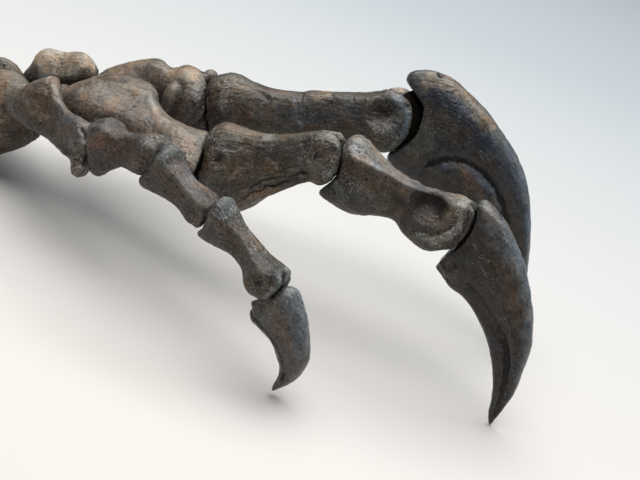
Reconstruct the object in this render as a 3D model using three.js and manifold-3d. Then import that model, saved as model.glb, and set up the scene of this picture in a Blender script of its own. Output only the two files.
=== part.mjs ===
// Fossil right hand of a large three-fingered dinosaur, palm down. It rests on the tips of its
// first two claws and on the cut end of the forearm. Millimetres. The hand is drawn with X
// towards the fingertips, Y towards the thumb side and Z towards the back of the hand, and is
// then laid on the ground plane Z = 0.
import * as THREE from 'three';
import { mergeVertices } from 'three/addons/utils/BufferGeometryUtils.js';
import Module from 'manifold-3d';

// Gaps: between pieces that touch, and in the joints that stand open
const TOUCH_GAP = 0.35;
const TIGHT_GAP = 1.4;
const OPEN_GAP = 2;
const THUMB_CLAW_GAP = 3.4;

// Facets of a bone: sides of its section, steps along it, rings across each end
const PALM_MESH = { sides: 12, steps: 10, rings: 2 };
const FINGER_MESH = { sides: 16, steps: 9, rings: 2 };
const CLAW_MESH = { sides: 12, steps: 15, rings: 2 };
const EGG_MESH = { around: 10, down: 6 };
// Share of the steps' spacing that follows a cosine, which crowds them towards the ends
const END_CROWDING = 0.6;

// The head of a finger bone, as shares of its length: where it starts and where it is full. Its
// groove is narrow against its half width, and its section is squarer than the shaft's.
const HEAD = { starts: 0.72, full: 0.95, grooveWidth: 0.35, squareness: 1.4 };
// Pits and furrows take at most these shares of a bone's half thickness.
const PIT_LIMIT = 0.6;
const FURROW_LIMIT = 0.5;

// Knuckles, where each finger leaves the palm. Yaw swings a finger towards the little-finger
// side and tilt leans its back the same way, in degrees.
const THUMB = { knuckle: [-71.5, 54, 86.5], yaw: 5, tilt: 14 };
const FINGER_2 = { knuckle: [-69, 0, 47], yaw: 14, tilt: 15 };
const FINGER_3 = { knuckle: [-132, -28, 51], yaw: 33, tilt: 16 };

// Joints of each finger: forward and up from the knuckle, and the slope of the bone beyond
const THUMB_BONES = { first: [0, 0, 5.7], claw: [121.5, -9, 67] };
const FINGER_2_BONES = { first: [0, 0, -1], second: [76, 0.5, 30], claw: [145, -38, 81.5] };
const FINGER_3_BONES = {
  first: [0, 0, 5.5],
  second: [49.5, -7.5, 49],
  third: [79, -39, 52],
  claw: [109, -81, 97],
};

// Start and slope of each bone of the palm and wrist
const PALM_BONES = {
  first: { start: [-134, 75, 105.5], slope: 16 },
  second: { start: [-148, 38, 87.5], slope: 27 },
  third: { start: [-172, 22, 82], slope: 38 },
};
const WRIST_BONES = {
  large: { start: [-187.5, 62, 108], slope: 0 },
  small: { start: [-161.5, 46.5, 92], slope: 0 },
  ulna: { start: [-209, 50, 80], slope: -2 },
  radius: { start: [-216, 78, 110], slope: 3 },
};

// The three pieces that touch the ground
const RESTS_ON = ['claw_1', 'claw_2', 'ulna_end'];

const PALM_LOOK = { color: 0x7d746b, roughness: 0.6 };
const FINGER_LOOK = { color: 0x4c4641, roughness: 0.5 };
const CLAW_LOOK = { color: 0x3a3b3d, roughness: 0.45 };
const PACKING_LOOK = { color: 0x1c1613, roughness: 0.7 };

// Rounds of tilting the ground until it touches all three of RESTS_ON
const LEVELLING_ROUNDS = 12;
// Corners closer than this are one corner.
const WELD = 1e-4;

const wasm = await Module();
wasm.setup();

const { degToRad, lerp, smoothstep, clamp } = THREE.MathUtils;

// Smooth open curve through points [forward, up].
function outline(points) {
  return new THREE.SplineCurve(points.map(([x, z]) => new THREE.Vector2(x, z)));
}

// Smooth run of values spaced evenly along a bone.
function along(values) {
  const last = values.length - 1;
  const curve = new THREE.SplineCurve(values.map((v, i) => new THREE.Vector2(i / last, v)));
  return (u) => curve.getPoint(u).y;
}

// Shortest distance from a point to a path of straight stretches.
function distanceTo(path, x, z) {
  let nearest = Infinity;
  for (let i = 1; i < path.length; i++) {
    const [ax, az] = path[i - 1];
    const [bx, bz] = path[i];
    const length = (bx - ax) ** 2 + (bz - az) ** 2;
    const s = clamp(((x - ax) * (bx - ax) + (z - az) * (bz - az)) / length, 0, 1);
    nearest = Math.min(nearest, Math.hypot(x - lerp(ax, bx, s), z - lerp(az, bz, s)));
  }
  return nearest;
}

// A bone drawn from the side by four outlines that meet at its corners: back and palm run from
// its base to its head, and base and head run from palm to back, between those corners.
// Thickness gives the half widths, evenly spaced from base to head. Lean pushes the back of the
// bone towards the thumb, and swing carries its head towards the little finger.
class Bone {
  constructor(shape) {
    const { back, palm, base = [], head = [] } = shape;
    this.shape = { square: 2.3, lean: 0, swing: 0, groove: 0, pits: [], furrow: null, ...shape };
    this.back = outline(back);
    this.palm = outline(palm);
    this.base = outline([palm[0], ...base, back[0]]);
    this.head = outline([palm.at(-1), ...head, back.at(-1)]);
    this.halfWidth = along(shape.thickness);
    this.headCentre = this.side(1, 0.5).lerp(this.side(0.8, 0.5), 0.7);
  }

  // Point of the side view: u runs from base to head, t from palm to back.
  side(u, t) {
    const across = this.palm.getPointAt(u).lerp(this.back.getPointAt(u), t);
    const lengthways = this.base.getPointAt(t).lerp(this.head.getPointAt(t), u);
    const palmEdge = this.palm.getPointAt(0).lerp(this.palm.getPointAt(1), u);
    const backEdge = this.back.getPointAt(0).lerp(this.back.getPointAt(1), u);
    return across.add(lengthways).sub(palmEdge.lerp(backEdge, t));
  }

  // Point of the surface: up and out lie on the unit disc of the bone's section. The head of a
  // grooved bone is a spool: its section squares off into two rims with the groove between them.
  point(u, up, out) {
    const { lean, swing, groove, pits, furrow } = this.shape;
    const p = this.side(u, (up + 1) / 2);
    const inHead = smoothstep(u, HEAD.starts, HEAD.full);
    const pull = groove * Math.exp(-((out / HEAD.grooveWidth) ** 2)) * inHead;
    p.lerp(this.headCentre, pull / Math.max(1, p.distanceTo(this.headCentre)));
    let y = out * this.halfWidth(u);
    for (const { at, radius, depth } of pits) {
      const away = Math.hypot(p.x - at[0], p.y - at[1]) / radius;
      y -= Math.sign(out) * Math.min(depth, Math.abs(y) * PIT_LIMIT) * Math.exp(-(away ** 2));
    }
    if (furrow) {
      const away = distanceTo(furrow.path, p.x, p.y) / furrow.width;
      const depth = Math.min(furrow.depth, Math.abs(y) * FURROW_LIMIT);
      y -= Math.sign(out) * depth * Math.exp(-(away ** 2));
    }
    return [p.x, y + lean * (p.y - this.side(u, 0.5).y) - swing * u, p.y];
  }

  geometry({ sides, steps, rings }) {
    const { square, groove } = this.shape;
    const loop = (u, scale) => Array.from({ length: sides }, (_, i) => {
      const angle = (i / sides) * Math.PI * 2;
      const inHead = groove ? smoothstep(u, HEAD.starts, HEAD.full) : 0;
      const power = 2 / (square + HEAD.squareness * inHead);
      const up = Math.sign(Math.sin(angle)) * Math.abs(Math.sin(angle)) ** power;
      const out = Math.sign(Math.cos(angle)) * Math.abs(Math.cos(angle)) ** power;
      return this.point(u, up * scale, out * scale);
    });
    const loops = [];
    for (let j = 1; j <= rings; j++) loops.push(loop(0, j / rings));
    for (let i = 1; i < steps; i++) {
      const even = i / steps;
      loops.push(loop(lerp(even, (1 - Math.cos(even * Math.PI)) / 2, END_CROWDING), 1));
    }
    for (let j = rings; j >= 1; j--) loops.push(loop(1, j / rings));

    const positions = [this.point(0, 0, 0), ...loops.flat(), this.point(1, 0, 0)].flat();
    const last = loops.length * sides + 1;
    const index = [];
    for (let i = 0; i < sides; i++) {
      const next = (i + 1) % sides;
      index.push(0, 1 + next, 1 + i);
      for (let j = 0; j + 1 < loops.length; j++) {
        const a = 1 + j * sides + i;
        const b = 1 + j * sides + next;
        index.push(a, b, b + sides, a, b + sides, a + sides);
      }
      index.push(last, last - sides + i, last - sides + next);
    }
    const geometry = new THREE.BufferGeometry();
    geometry.setAttribute('position', new THREE.Float32BufferAttribute(positions, 3));
    geometry.setIndex(index);
    return geometry;
  }
}

function toSolid(geometry) {
  const bare = geometry.clone();
  bare.deleteAttribute('normal');
  bare.deleteAttribute('uv');
  const merged = mergeVertices(bare, WELD);
  return new wasm.Manifold(new wasm.Mesh({
    numProp: 3,
    vertProperties: new Float32Array(merged.attributes.position.array),
    triVerts: new Uint32Array(merged.index.array),
  }));
}

function toGeometry(solid) {
  const { vertProperties, triVerts } = solid.getMesh();
  const geometry = new THREE.BufferGeometry();
  geometry.setAttribute('position', new THREE.Float32BufferAttribute(vertProperties, 3));
  geometry.setIndex(new THREE.BufferAttribute(triVerts, 1));
  return geometry;
}

// The same closed surface, moved outwards by a distance.
function grown(geometry, distance) {
  const swollen = geometry.clone();
  swollen.computeVertexNormals();
  const { position, normal } = swollen.attributes;
  for (let i = 0; i < position.count; i++) {
    position.setXYZ(
      i,
      position.getX(i) + normal.getX(i) * distance,
      position.getY(i) + normal.getY(i) * distance,
      position.getZ(i) + normal.getZ(i) * distance,
    );
  }
  return swollen;
}

// Pieces by name, in the hand's frame
const pieces = new Map();

function addBone(name, frame, shape, look, mesh) {
  pieces.set(name, { geometry: new Bone(shape).geometry(mesh).applyMatrix4(frame), look });
}

// Cuts a piece back until it clears its neighbours.
function clear(name, neighbours, gap = TOUCH_GAP) {
  const piece = pieces.get(name);
  let solid = toSolid(piece.geometry);
  for (const neighbour of neighbours) {
    solid = solid.subtract(toSolid(grown(pieces.get(neighbour).geometry, gap)));
  }
  piece.geometry = toGeometry(solid);
}

function fingerFrame({ knuckle, yaw, tilt }, [forward, up, slope]) {
  const turn = new THREE.Euler(degToRad(tilt), 0, degToRad(-yaw), 'ZXY');
  const finger = new THREE.Matrix4().makeRotationFromEuler(turn).setPosition(...knuckle);
  const bone = new THREE.Matrix4().makeRotationY(degToRad(slope)).setPosition(forward, 0, up);
  return finger.multiply(bone);
}

function palmFrame({ start, slope }) {
  return new THREE.Matrix4().makeRotationY(degToRad(slope)).setPosition(...start);
}

// A closed egg shape with its three radii, placed in a bone's frame.
function egg([rx, ry, rz], centre, frame) {
  return new THREE.SphereGeometry(1, EGG_MESH.around, EGG_MESH.down)
    .scale(rx, ry, rz)
    .translate(...centre)
    .applyMatrix4(frame);
}

// Raises a rounded knob on a bone.
function addKnob(name, radii, centre, frame) {
  const piece = pieces.get(name);
  piece.geometry = toGeometry(toSolid(piece.geometry).add(toSolid(egg(radii, centre, frame))));
}

// Dark packing in a joint: an egg shape cut back to clear both bones. Crumbs that the cuts leave
// beside it are dropped.
function addPacking(name, bones, finger, [forward, up], radii) {
  let filling = toSolid(egg(radii, [0, 0, 0], fingerFrame(finger, [forward, up, 0])));
  for (const bone of bones) {
    filling = filling.subtract(toSolid(grown(pieces.get(bone).geometry, TOUCH_GAP)));
  }
  const [largest] = filling.decompose().sort((a, b) => b.volume() - a.volume());
  pieces.set(name, { geometry: toGeometry(largest), look: PACKING_LOOK });
}

// Palm

addBone('metacarpal_1', palmFrame(PALM_BONES.first), {
  back: [
    [-4, 3.5], [4, 7.5], [14, 13.5], [22, 16.5], [29, 17.5], [36, 15], [41, 15], [46, 18.5],
    [52, 19], [59, 17],
  ],
  palm: [[2, -20], [14, -17], [26, -14], [36, -15], [44, -19], [53, -20.5], [61, -18.5]],
  base: [[-9, -9]],
  head: [[66.5, -11], [66.5, -2], [63.5, 8]],
  thickness: [9, 13, 11, 10, 11, 14, 15, 11],
  swing: 20,
  lean: 0.3,
}, PALM_LOOK, PALM_MESH);
const thumbPalm = palmFrame(PALM_BONES.first);
addKnob('metacarpal_1', [7, 9, 13], [46, -25, -8], thumbPalm);
addKnob('metacarpal_1', [8, 9, 13.5], [59, -26, -4], thumbPalm);
addKnob('metacarpal_1', [5, 6, 5.5], [64.5, -14, 13], thumbPalm);

addBone('metacarpal_2', palmFrame(PALM_BONES.second), {
  back: [
    [-8.5, 2], [-6, 7.5], [-1, 13], [5.5, 20], [12, 23.5], [20, 25.5], [34, 27.5], [39, 26.5],
    [43, 24], [46.5, 19.5], [52, 16.5], [58.5, 14.5], [67, 14], [76, 15], [83, 17],
  ],
  palm: [[-6, -13], [6, -16], [18, -15], [35, -12.5], [56, -11], [73, -12], [87, -15.5]],
  base: [[-11, -5]],
  head: [[89, -8], [88, 2], [85.5, 11]],
  thickness: [11, 17, 17, 15, 13, 12.5, 14, 17, 18, 13],
  swing: 38,
  lean: 0.6,
}, PALM_LOOK, PALM_MESH);

addBone('metacarpal_3', palmFrame(PALM_BONES.third), {
  back: [
    [-13, 1], [-10.5, 5], [-8, 9], [-4.5, 14.5], [-1, 19.5], [2, 21], [5, 21.5], [9, 19],
    [13, 15.5], [18, 12.5], [25, 11], [34, 12], [42, 13.5],
  ],
  palm: [
    [-10, -13.5], [-3, -14.5], [7.5, -13.5], [15.5, -12], [24.5, -10], [33, -10], [40, -10.5],
    [45.5, -9.5], [48.5, -13], [52, -16],
  ],
  base: [[-14, -9], [-15, -4]],
  head: [[55.5, -15.5], [58, -12], [58, -8], [56, -3], [53, 2], [47.5, 8]],
  thickness: [10, 14, 13, 10, 8.5, 8.5, 10, 12, 9],
  swing: 50,
  lean: 0.3,
}, PALM_LOOK, PALM_MESH);

// Wrist and the ends of the forearm bones, which are cut off square

addBone('wrist_bone', palmFrame(WRIST_BONES.large), {
  back: [
    [0, -3], [5.5, 3], [9, 9.5], [12.5, 12.5], [17, 13.5], [22, 12], [27, 11], [33, 11.5],
    [38.5, 10.5], [43, 7], [46, 2],
  ],
  palm: [[3, -11], [13, -13], [23, -14], [33, -14], [43, -9]],
  base: [[0, -7]],
  head: [[46, -4]],
  thickness: [8, 13, 15, 15, 14, 15, 14, 10],
}, PALM_LOOK, PALM_MESH);

addBone('small_wrist_bone', palmFrame(WRIST_BONES.small), {
  back: [[-3, 1], [1, 5], [5, 4.5], [8, 0]],
  palm: [[-2, -8], [2, -12], [7, -10]],
  base: [[-4, -4]],
  head: [[9, -5]],
  thickness: [5, 9.5, 9.5, 5],
}, PALM_LOOK, PALM_MESH);

addBone('ulna_end', palmFrame(WRIST_BONES.ulna), {
  back: [[-14, 29], [0, 28.5], [10, 26.5], [16, 25.5], [22, 23.5], [27, 19.5], [30, 14.5]],
  palm: [[-14, -33], [0, -30], [8, -27], [14, -25], [20.5, -23], [27, -20], [33, -16.5]],
  head: [[36, -6.5], [34, 6]],
  thickness: [17, 17, 18, 19, 18, 12],
}, PALM_LOOK, PALM_MESH);

addBone('radius_end', palmFrame(WRIST_BONES.radius), {
  back: [[-8, 6], [0, 8], [8.5, 8.5], [12, 8.5], [16.5, 6.5], [20.5, 3.5], [23.5, -1]],
  palm: [[-8, -22], [5, -24], [15, -22], [23, -17]],
  head: [[29, -9]],
  thickness: [12, 12, 13.5, 14, 11],
}, PALM_LOOK, PALM_MESH);

// Thumb

addBone('phalanx_1_1', fingerFrame(THUMB, THUMB_BONES.first), {
  back: [
    [-1, 10], [4, 16], [11, 19], [19, 19.5], [28, 17], [38, 13.5], [54, 11.5], [76, 13],
    [98, 14.5], [112, 17.5], [120, 17.5],
  ],
  palm: [[6, -22], [23, -19], [45, -17], [72, -16], [90, -17.5], [104, -21.5], [111, -22]],
  base: [[1.5, -11], [-0.5, -2], [-1.5, 4.5]],
  head: [[119, -19], [126, -12.5], [130, -4.5], [131, 5], [129, 13]],
  thickness: [12, 17, 15, 12, 11, 11.5, 13.5, 15.5, 11],
  groove: 3,
  pits: [{ at: [111.5, 3], radius: 7, depth: 3.5 }],
}, FINGER_LOOK, FINGER_MESH);

addBone('claw_1', fingerFrame(THUMB, THUMB_BONES.claw), {
  back: [
    [-18, 14], [-21.5, 19], [-17, 31], [-8, 40], [3, 46], [20, 52.5], [40, 56.5], [58, 57.5],
    [75, 55], [90, 50], [107, 43], [124, 34.5], [140, 24.5], [157, 12], [172, 1.5],
  ],
  palm: [
    [23, -16.5], [29, -16], [38, -13.5], [56, -5.5], [75, 2], [93, 6.5], [115, 8], [139, 6],
    [158, 2], [171, -1.5],
  ],
  base: [[19.5, -12.5], [19, -5.5], [15, 4.5], [8.5, 12], [0, 16], [-8, 15.5]],
  head: [[172.5, 0]],
  thickness: [11, 14, 14.5, 13, 11.5, 10, 8.5, 6.5, 4.5, 1.8],
  square: 2.1,
  furrow: {
    path: [[34, 6], [35, 14], [41, 26], [52.5, 33], [64.5, 37], [77.5, 36.5], [103, 31.5], [140, 17]],
    width: 3.5,
    depth: 2.6,
  },
}, CLAW_LOOK, CLAW_MESH);

// Second finger

addBone('phalanx_2_1', fingerFrame(FINGER_2, FINGER_2_BONES.first), {
  back: [
    [3, 15], [9, 20.5], [17, 22], [26, 19], [36, 15.5], [48, 13.5], [62, 14.5], [73, 15.5],
    [80, 13.5],
  ],
  palm: [[3, -26], [10, -30], [18, -31.5], [27, -28], [37, -22], [47, -17.5], [57, -13], [64, -14]],
  base: [[-2, -18], [-2, -7], [0, 3], [1, 10]],
  head: [[71, -16], [78, -12.5], [83, -4.5], [85.5, 3], [84, 9]],
  thickness: [12, 17, 15, 12, 10.5, 10.5, 12.5, 14.5, 10.5],
  groove: 3,
  pits: [{ at: [70, 2], radius: 7, depth: 1.5 }],
}, FINGER_LOOK, FINGER_MESH);

addBone('phalanx_2_2', fingerFrame(FINGER_2, FINGER_2_BONES.second), {
  back: [
    [6, 17], [9, 20.5], [13, 21], [18, 19.5], [24, 17.5], [31, 15], [40, 12], [50, 11.5],
    [58, 13], [66, 15.5], [73, 17.5], [83, 18.5],
  ],
  palm: [
    [5, -21.5], [9, -23], [18, -23.5], [28, -24], [39, -18], [50, -14.5], [59, -19], [71, -22],
    [77, -20], [82, -16],
  ],
  base: [[4.5, -19], [8, -11.5], [9, -3.5], [7.5, 3.5], [5.5, 10.5]],
  head: [[88, -9], [90, 0], [90, 8], [88, 15]],
  thickness: [10, 15, 13, 9.5, 8.5, 9, 11.5, 13, 9.5],
  groove: 3,
  pits: [{ at: [65, 4], radius: 7, depth: 4.5 }],
}, FINGER_LOOK, FINGER_MESH);

addBone('claw_2', fingerFrame(FINGER_2, FINGER_2_BONES.claw), {
  back: [
    [-9.5, 18], [-10, 22], [-6.5, 26], [-1, 29], [7, 32.5], [16, 35], [24, 37], [34, 38.5],
    [52, 38.5], [63, 37], [74, 34.5], [84, 30.5], [100, 21], [111, 14], [123, 3],
  ],
  palm: [
    [25, -13], [31, -10], [38, -6.5], [44, -1], [54, 3.5], [70, 7.5], [89, 8.5], [106, 5.5],
    [117, 0.5], [124, -0.5],
  ],
  base: [[21, -9], [17, -4.5], [14.5, 1], [10.5, 5.5], [4, 11], [-3, 15]],
  head: [[124.7, 1]],
  thickness: [8, 10.5, 11, 10, 9, 8, 7, 5.5, 3.8, 1.5],
  square: 2.1,
  furrow: { path: [[39, 4.5], [56, 11], [74, 19], [93, 17], [118, 8]], width: 3, depth: 1.6 },
}, CLAW_LOOK, CLAW_MESH);

// Third finger

addBone('phalanx_3_1', fingerFrame(FINGER_3, FINGER_3_BONES.first), {
  back: [
    [5.5, 15.5], [10, 18], [15, 19], [18.5, 19.5], [21, 18.5], [24, 15.5], [27, 13], [32, 12],
    [40, 12], [47, 12], [53, 8],
  ],
  palm: [
    [4, -11.5], [6, -13.5], [9, -14], [13, -12], [21, -9], [26, -7.5], [31, -8.5], [34.5, -10],
    [38, -11.5],
  ],
  base: [[5.5, -5.5], [7, 0], [6.5, 9]],
  head: [[44, -10], [51, -4], [55, 3]],
  thickness: [9, 12.5, 12, 9, 8, 9.5, 11, 8],
  groove: 1.5,
}, FINGER_LOOK, FINGER_MESH);

addBone('phalanx_3_2', fingerFrame(FINGER_3, FINGER_3_BONES.second), {
  back: [
    [-1.5, 10], [0, 13], [3, 14.5], [6.5, 13.5], [11, 11], [18, 8.5], [25, 8], [32, 10], [41, 11],
  ],
  palm: [[1, -18], [4, -17.5], [9, -15], [15, -13.5], [22, -11.5], [29, -11.5], [35, -12], [40, -11]],
  base: [[0, -15], [0, -6.5], [-1, 4]],
  head: [[43, -9], [45, -4], [44, 3], [43, 8.5]],
  thickness: [8, 11, 10, 7.5, 7, 8, 9.5, 7],
  groove: 1.5,
}, FINGER_LOOK, FINGER_MESH);

addBone('phalanx_3_3', fingerFrame(FINGER_3, FINGER_3_BONES.third), {
  back: [
    [-1, 10.5], [-1.5, 14], [0, 16.5], [4, 17], [10, 16], [18, 14.5], [26, 14], [34, 13],
    [41, 14], [47, 16], [50.5, 16.5],
  ],
  palm: [
    [2, -13], [5, -13], [9, -11.5], [14, -9.5], [21, -5.5], [26.5, -4], [31, -4], [35, -6],
    [38.5, -9.5], [43.5, -10.5], [48, -10],
  ],
  base: [[2.5, -10], [3.5, -5], [2.5, 0.5], [0, 5.5]],
  head: [[52, -8.5], [56, -4], [57, 1], [56, 5.5], [53, 11]],
  thickness: [7.5, 10, 9, 7, 6.5, 7.5, 9.5, 10, 7],
  groove: 2,
  pits: [{ at: [46, 2], radius: 4.5, depth: 2.5 }],
}, FINGER_LOOK, FINGER_MESH);

addBone('claw_3', fingerFrame(FINGER_3, FINGER_3_BONES.claw), {
  back: [
    [-2, 10], [-4, 13], [-4, 16.5], [-1.5, 20], [4, 21.5], [11, 23], [18, 24.5], [26, 25],
    [32, 24.5], [38, 22.5], [45, 18.5], [51, 13], [55, 7], [58.5, 1],
  ],
  palm: [
    [7, -10.5], [11, -10], [13, -12.5], [16.5, -13], [20, -10.5], [23.5, -7], [26, -2.5],
    [30, 0.5], [35.5, 3], [41.5, 4.5], [47, 4], [52, 1.5], [57, -1.5],
  ],
  base: [[7, -6], [5.5, 0.5], [1.5, 6]],
  head: [[58.8, -0.5]],
  thickness: [7, 9, 9.5, 8.5, 7.5, 6.5, 5.5, 4, 1.3],
  square: 2.1,
  furrow: { path: [[15, -11], [20, -5.5], [24.5, 1], [31, 4.5], [38, 7], [46, 8.5]], width: 2, depth: 1.3 },
}, CLAW_LOOK, CLAW_MESH);

// Each bone is cut back to clear the ones that it meets.
clear('metacarpal_2', ['metacarpal_3']);
clear('metacarpal_1', ['metacarpal_2']);
clear('small_wrist_bone', ['metacarpal_2', 'metacarpal_3']);
clear('wrist_bone', ['metacarpal_1', 'metacarpal_2', 'metacarpal_3', 'small_wrist_bone']);
clear('ulna_end', ['wrist_bone', 'small_wrist_bone', 'metacarpal_2', 'metacarpal_3']);
clear('radius_end', ['ulna_end', 'wrist_bone']);
clear('phalanx_1_1', ['metacarpal_1'], OPEN_GAP);
clear('phalanx_1_1', ['metacarpal_2']);
clear('claw_1', ['phalanx_1_1'], THUMB_CLAW_GAP);
clear('phalanx_2_1', ['metacarpal_2'], OPEN_GAP);
clear('phalanx_2_2', ['phalanx_2_1'], TIGHT_GAP);
clear('claw_2', ['phalanx_2_2'], OPEN_GAP);
clear('phalanx_3_1', ['metacarpal_3']);
clear('phalanx_3_2', ['phalanx_3_1']);
clear('phalanx_3_3', ['phalanx_3_2']);
clear('claw_3', ['phalanx_3_3']);

addPacking('packing_thumb_knuckle', ['metacarpal_1', 'phalanx_1_1'], THUMB, [-2, -3], [7, 9, 10]);
addPacking('packing_thumb_claw', ['phalanx_1_1', 'claw_1'], THUMB, [128, -10], [12, 8, 14]);
addPacking('packing_2_knuckle', ['metacarpal_2', 'phalanx_2_1'], FINGER_2, [0, -4], [8, 9, 12]);
addPacking('packing_2_middle', ['phalanx_2_1', 'phalanx_2_2'], FINGER_2, [83, 0], [8, 8, 11]);
addPacking('packing_2_claw', ['phalanx_2_2', 'claw_2'], FINGER_2, [154, -40], [9, 7, 11]);

// Laying the hand down: the ground passes under the lowest points of the three pieces that it
// rests on.

function lowestPoint(geometry, up) {
  const { position } = geometry.attributes;
  const best = new THREE.Vector3();
  const p = new THREE.Vector3();
  let height = Infinity;
  for (let i = 0; i < position.count; i++) {
    p.fromBufferAttribute(position, i);
    if (p.dot(up) < height) {
      height = p.dot(up);
      best.copy(p);
    }
  }
  return best;
}

const up = new THREE.Vector3(0, 0, 1);
for (let i = 0; i < LEVELLING_ROUNDS; i++) {
  const [a, b, c] = RESTS_ON.map((name) => lowestPoint(pieces.get(name).geometry, up));
  up.crossVectors(b.sub(a), c.sub(a)).normalize();
  if (up.z < 0) up.negate();
}
const side = new THREE.Vector3(0, 1, 0).projectOnPlane(up).normalize();
const forward = new THREE.Vector3().crossVectors(side, up);
const laidDown = new THREE.Matrix4().makeBasis(forward, side, up).transpose();

const box = new THREE.Box3();
for (const piece of pieces.values()) {
  piece.geometry.applyMatrix4(laidDown);
  piece.geometry.computeBoundingBox();
  box.union(piece.geometry.boundingBox);
}
const centre = box.getCenter(new THREE.Vector3());

const group = new THREE.Group();
for (const [name, { geometry, look }] of pieces) {
  geometry.translate(-centre.x, -centre.y, -box.min.z);
  geometry.computeVertexNormals();
  const mesh = new THREE.Mesh(geometry, new THREE.MeshStandardMaterial({ ...look, flatShading: true }));
  mesh.name = name;
  group.add(mesh);
}

export default group;
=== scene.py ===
# Fossil right hand of a large three-fingered dinosaur, palm down on its claw tips. The bones are
# shaped in millimetres in the hand's own frame, X towards the fingertips, Y towards the thumb
# side and Z towards the back of the hand. Each is laid down in the frame's metres once finished.
import itertools
import math

import bpy
import numpy as np
from mathutils import Matrix, Vector
from mathutils.kdtree import KDTree


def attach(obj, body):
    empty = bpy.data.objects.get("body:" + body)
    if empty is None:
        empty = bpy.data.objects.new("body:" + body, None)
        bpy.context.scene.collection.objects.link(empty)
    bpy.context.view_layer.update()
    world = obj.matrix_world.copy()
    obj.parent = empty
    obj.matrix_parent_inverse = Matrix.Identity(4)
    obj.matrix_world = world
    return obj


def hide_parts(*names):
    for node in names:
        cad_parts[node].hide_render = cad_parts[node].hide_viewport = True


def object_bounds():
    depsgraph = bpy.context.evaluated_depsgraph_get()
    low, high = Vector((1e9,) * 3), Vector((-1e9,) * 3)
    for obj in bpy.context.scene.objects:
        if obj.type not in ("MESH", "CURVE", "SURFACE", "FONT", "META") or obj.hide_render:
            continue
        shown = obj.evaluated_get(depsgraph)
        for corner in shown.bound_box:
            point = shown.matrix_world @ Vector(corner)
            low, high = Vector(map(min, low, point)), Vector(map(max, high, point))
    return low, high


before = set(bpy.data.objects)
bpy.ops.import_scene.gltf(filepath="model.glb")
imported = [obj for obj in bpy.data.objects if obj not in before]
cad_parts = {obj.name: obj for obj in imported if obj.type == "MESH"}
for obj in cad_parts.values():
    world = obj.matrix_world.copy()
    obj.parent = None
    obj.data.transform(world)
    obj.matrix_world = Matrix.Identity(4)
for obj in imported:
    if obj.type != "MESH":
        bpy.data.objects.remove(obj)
cad_box = [list(corner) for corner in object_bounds()]

# Third palm bone
# The short palm bone of the third finger, nearest the viewer. Bone turned to stone: a lipped
# base, a slim shaft and a rounded head with a knob below it. The other palm bones lie against it.

# Finished edge length of the worked surface, and of the rough form before the neighbours are cut
FINE_EDGE = 0.64
ROUGH_EDGE = 0.9
# Facets of a form before it is remeshed: around its section, along it, and rings across each end
SECTION_SIDES = 120
LENGTH_STEPS = 190
END_RINGS = 14
# How much closer together the steps along a form lie near its ends
END_CROWDING = 0.6
# Points along an outline, and along the middle line of a bone
CURVE_STEPS = 401
SPINE_STEPS = 60
# Gap between bones that touch
TOUCH_GAP = 0.6
# A squared-off finger head: where it starts and is full, as shares of the bone's length, how
# narrow its groove is against its half width, and how much squarer its section is
HEAD_STARTS = 0.72
HEAD_FULL = 0.95
GROOVE_WIDTH = 0.35
HEAD_SQUARENESS = 0.7
# The groove is drawn in towards the head's centre. That lies on the bone's middle line, this
# share of the way from its end back to the place at this share of its length.
HEAD_INSET = 0.7
HEAD_ROOT = 0.8
# The squarest that a section gets on its palm side, and how strongly a shouldered back is roofed
UNDER_SQUARENESS = 2.3
ROOF_SHARE = 0.75
# The deepest that a pit and a furrow may go, as shares of the half width
DEEPEST_PIT = 0.6
DEEPEST_FURROW = 0.5

# The way out of the ground, seen from the hand, and where the hand's origin lies above it
GROUND_UP = Vector((0.33400, -0.43515, 0.83612)).normalized()
HAND_SHIFT = Vector((55.126, -2.770, 57.991))
THUMB_WAY = Vector((0, 1, 0))
across_ground = (THUMB_WAY - GROUND_UP * THUMB_WAY.dot(GROUND_UP)).normalized()
along_ground = across_ground.cross(GROUND_UP)
laid_down = np.array([along_ground, across_ground, GROUND_UP])


def palm_place(start, slope):
    """Frame of a palm or wrist bone: where it starts, and how far its head dips in degrees."""
    return Matrix.Translation(start) @ Matrix.Rotation(math.radians(slope), 4, "Y")


def soft_step(value, low, high):
    share = np.clip((value - low) / (high - low), 0, 1)
    return share * share * (3 - 2 * share)


def smooth_line(points):
    """Smooth open curve through points, cut in even shares of the stretches between them."""
    points = np.array(points, float)
    padded = np.concatenate([points[:1], points, points[-1:]])
    spans = len(points) - 1
    way = np.linspace(0, spans, CURVE_STEPS)
    span = np.minimum(way.astype(int), spans - 1)
    t = (way - span).reshape(-1, *[1] * (points.ndim - 1))
    before, start, end, after = (padded[span + k] for k in range(4))
    leaving = (end - before) / 2
    arriving = (after - start) / 2
    cubic = 2 * start - 2 * end + leaving + arriving
    square = 3 * end - 3 * start - 2 * leaving - arriving
    return ((cubic * t + square) * t + leaving) * t + start


def at_shares(line, share):
    """Points at these shares of a line's length."""
    steps = np.linalg.norm(np.diff(line, axis=0), axis=1)
    reached = np.concatenate([[0], np.cumsum(steps)])
    return np.stack([np.interp(share * reached[-1], reached, line[:, k]) for k in (0, 1)], -1)


def blend(a, b, share):
    return a + (b - a) * share[..., None]


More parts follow.
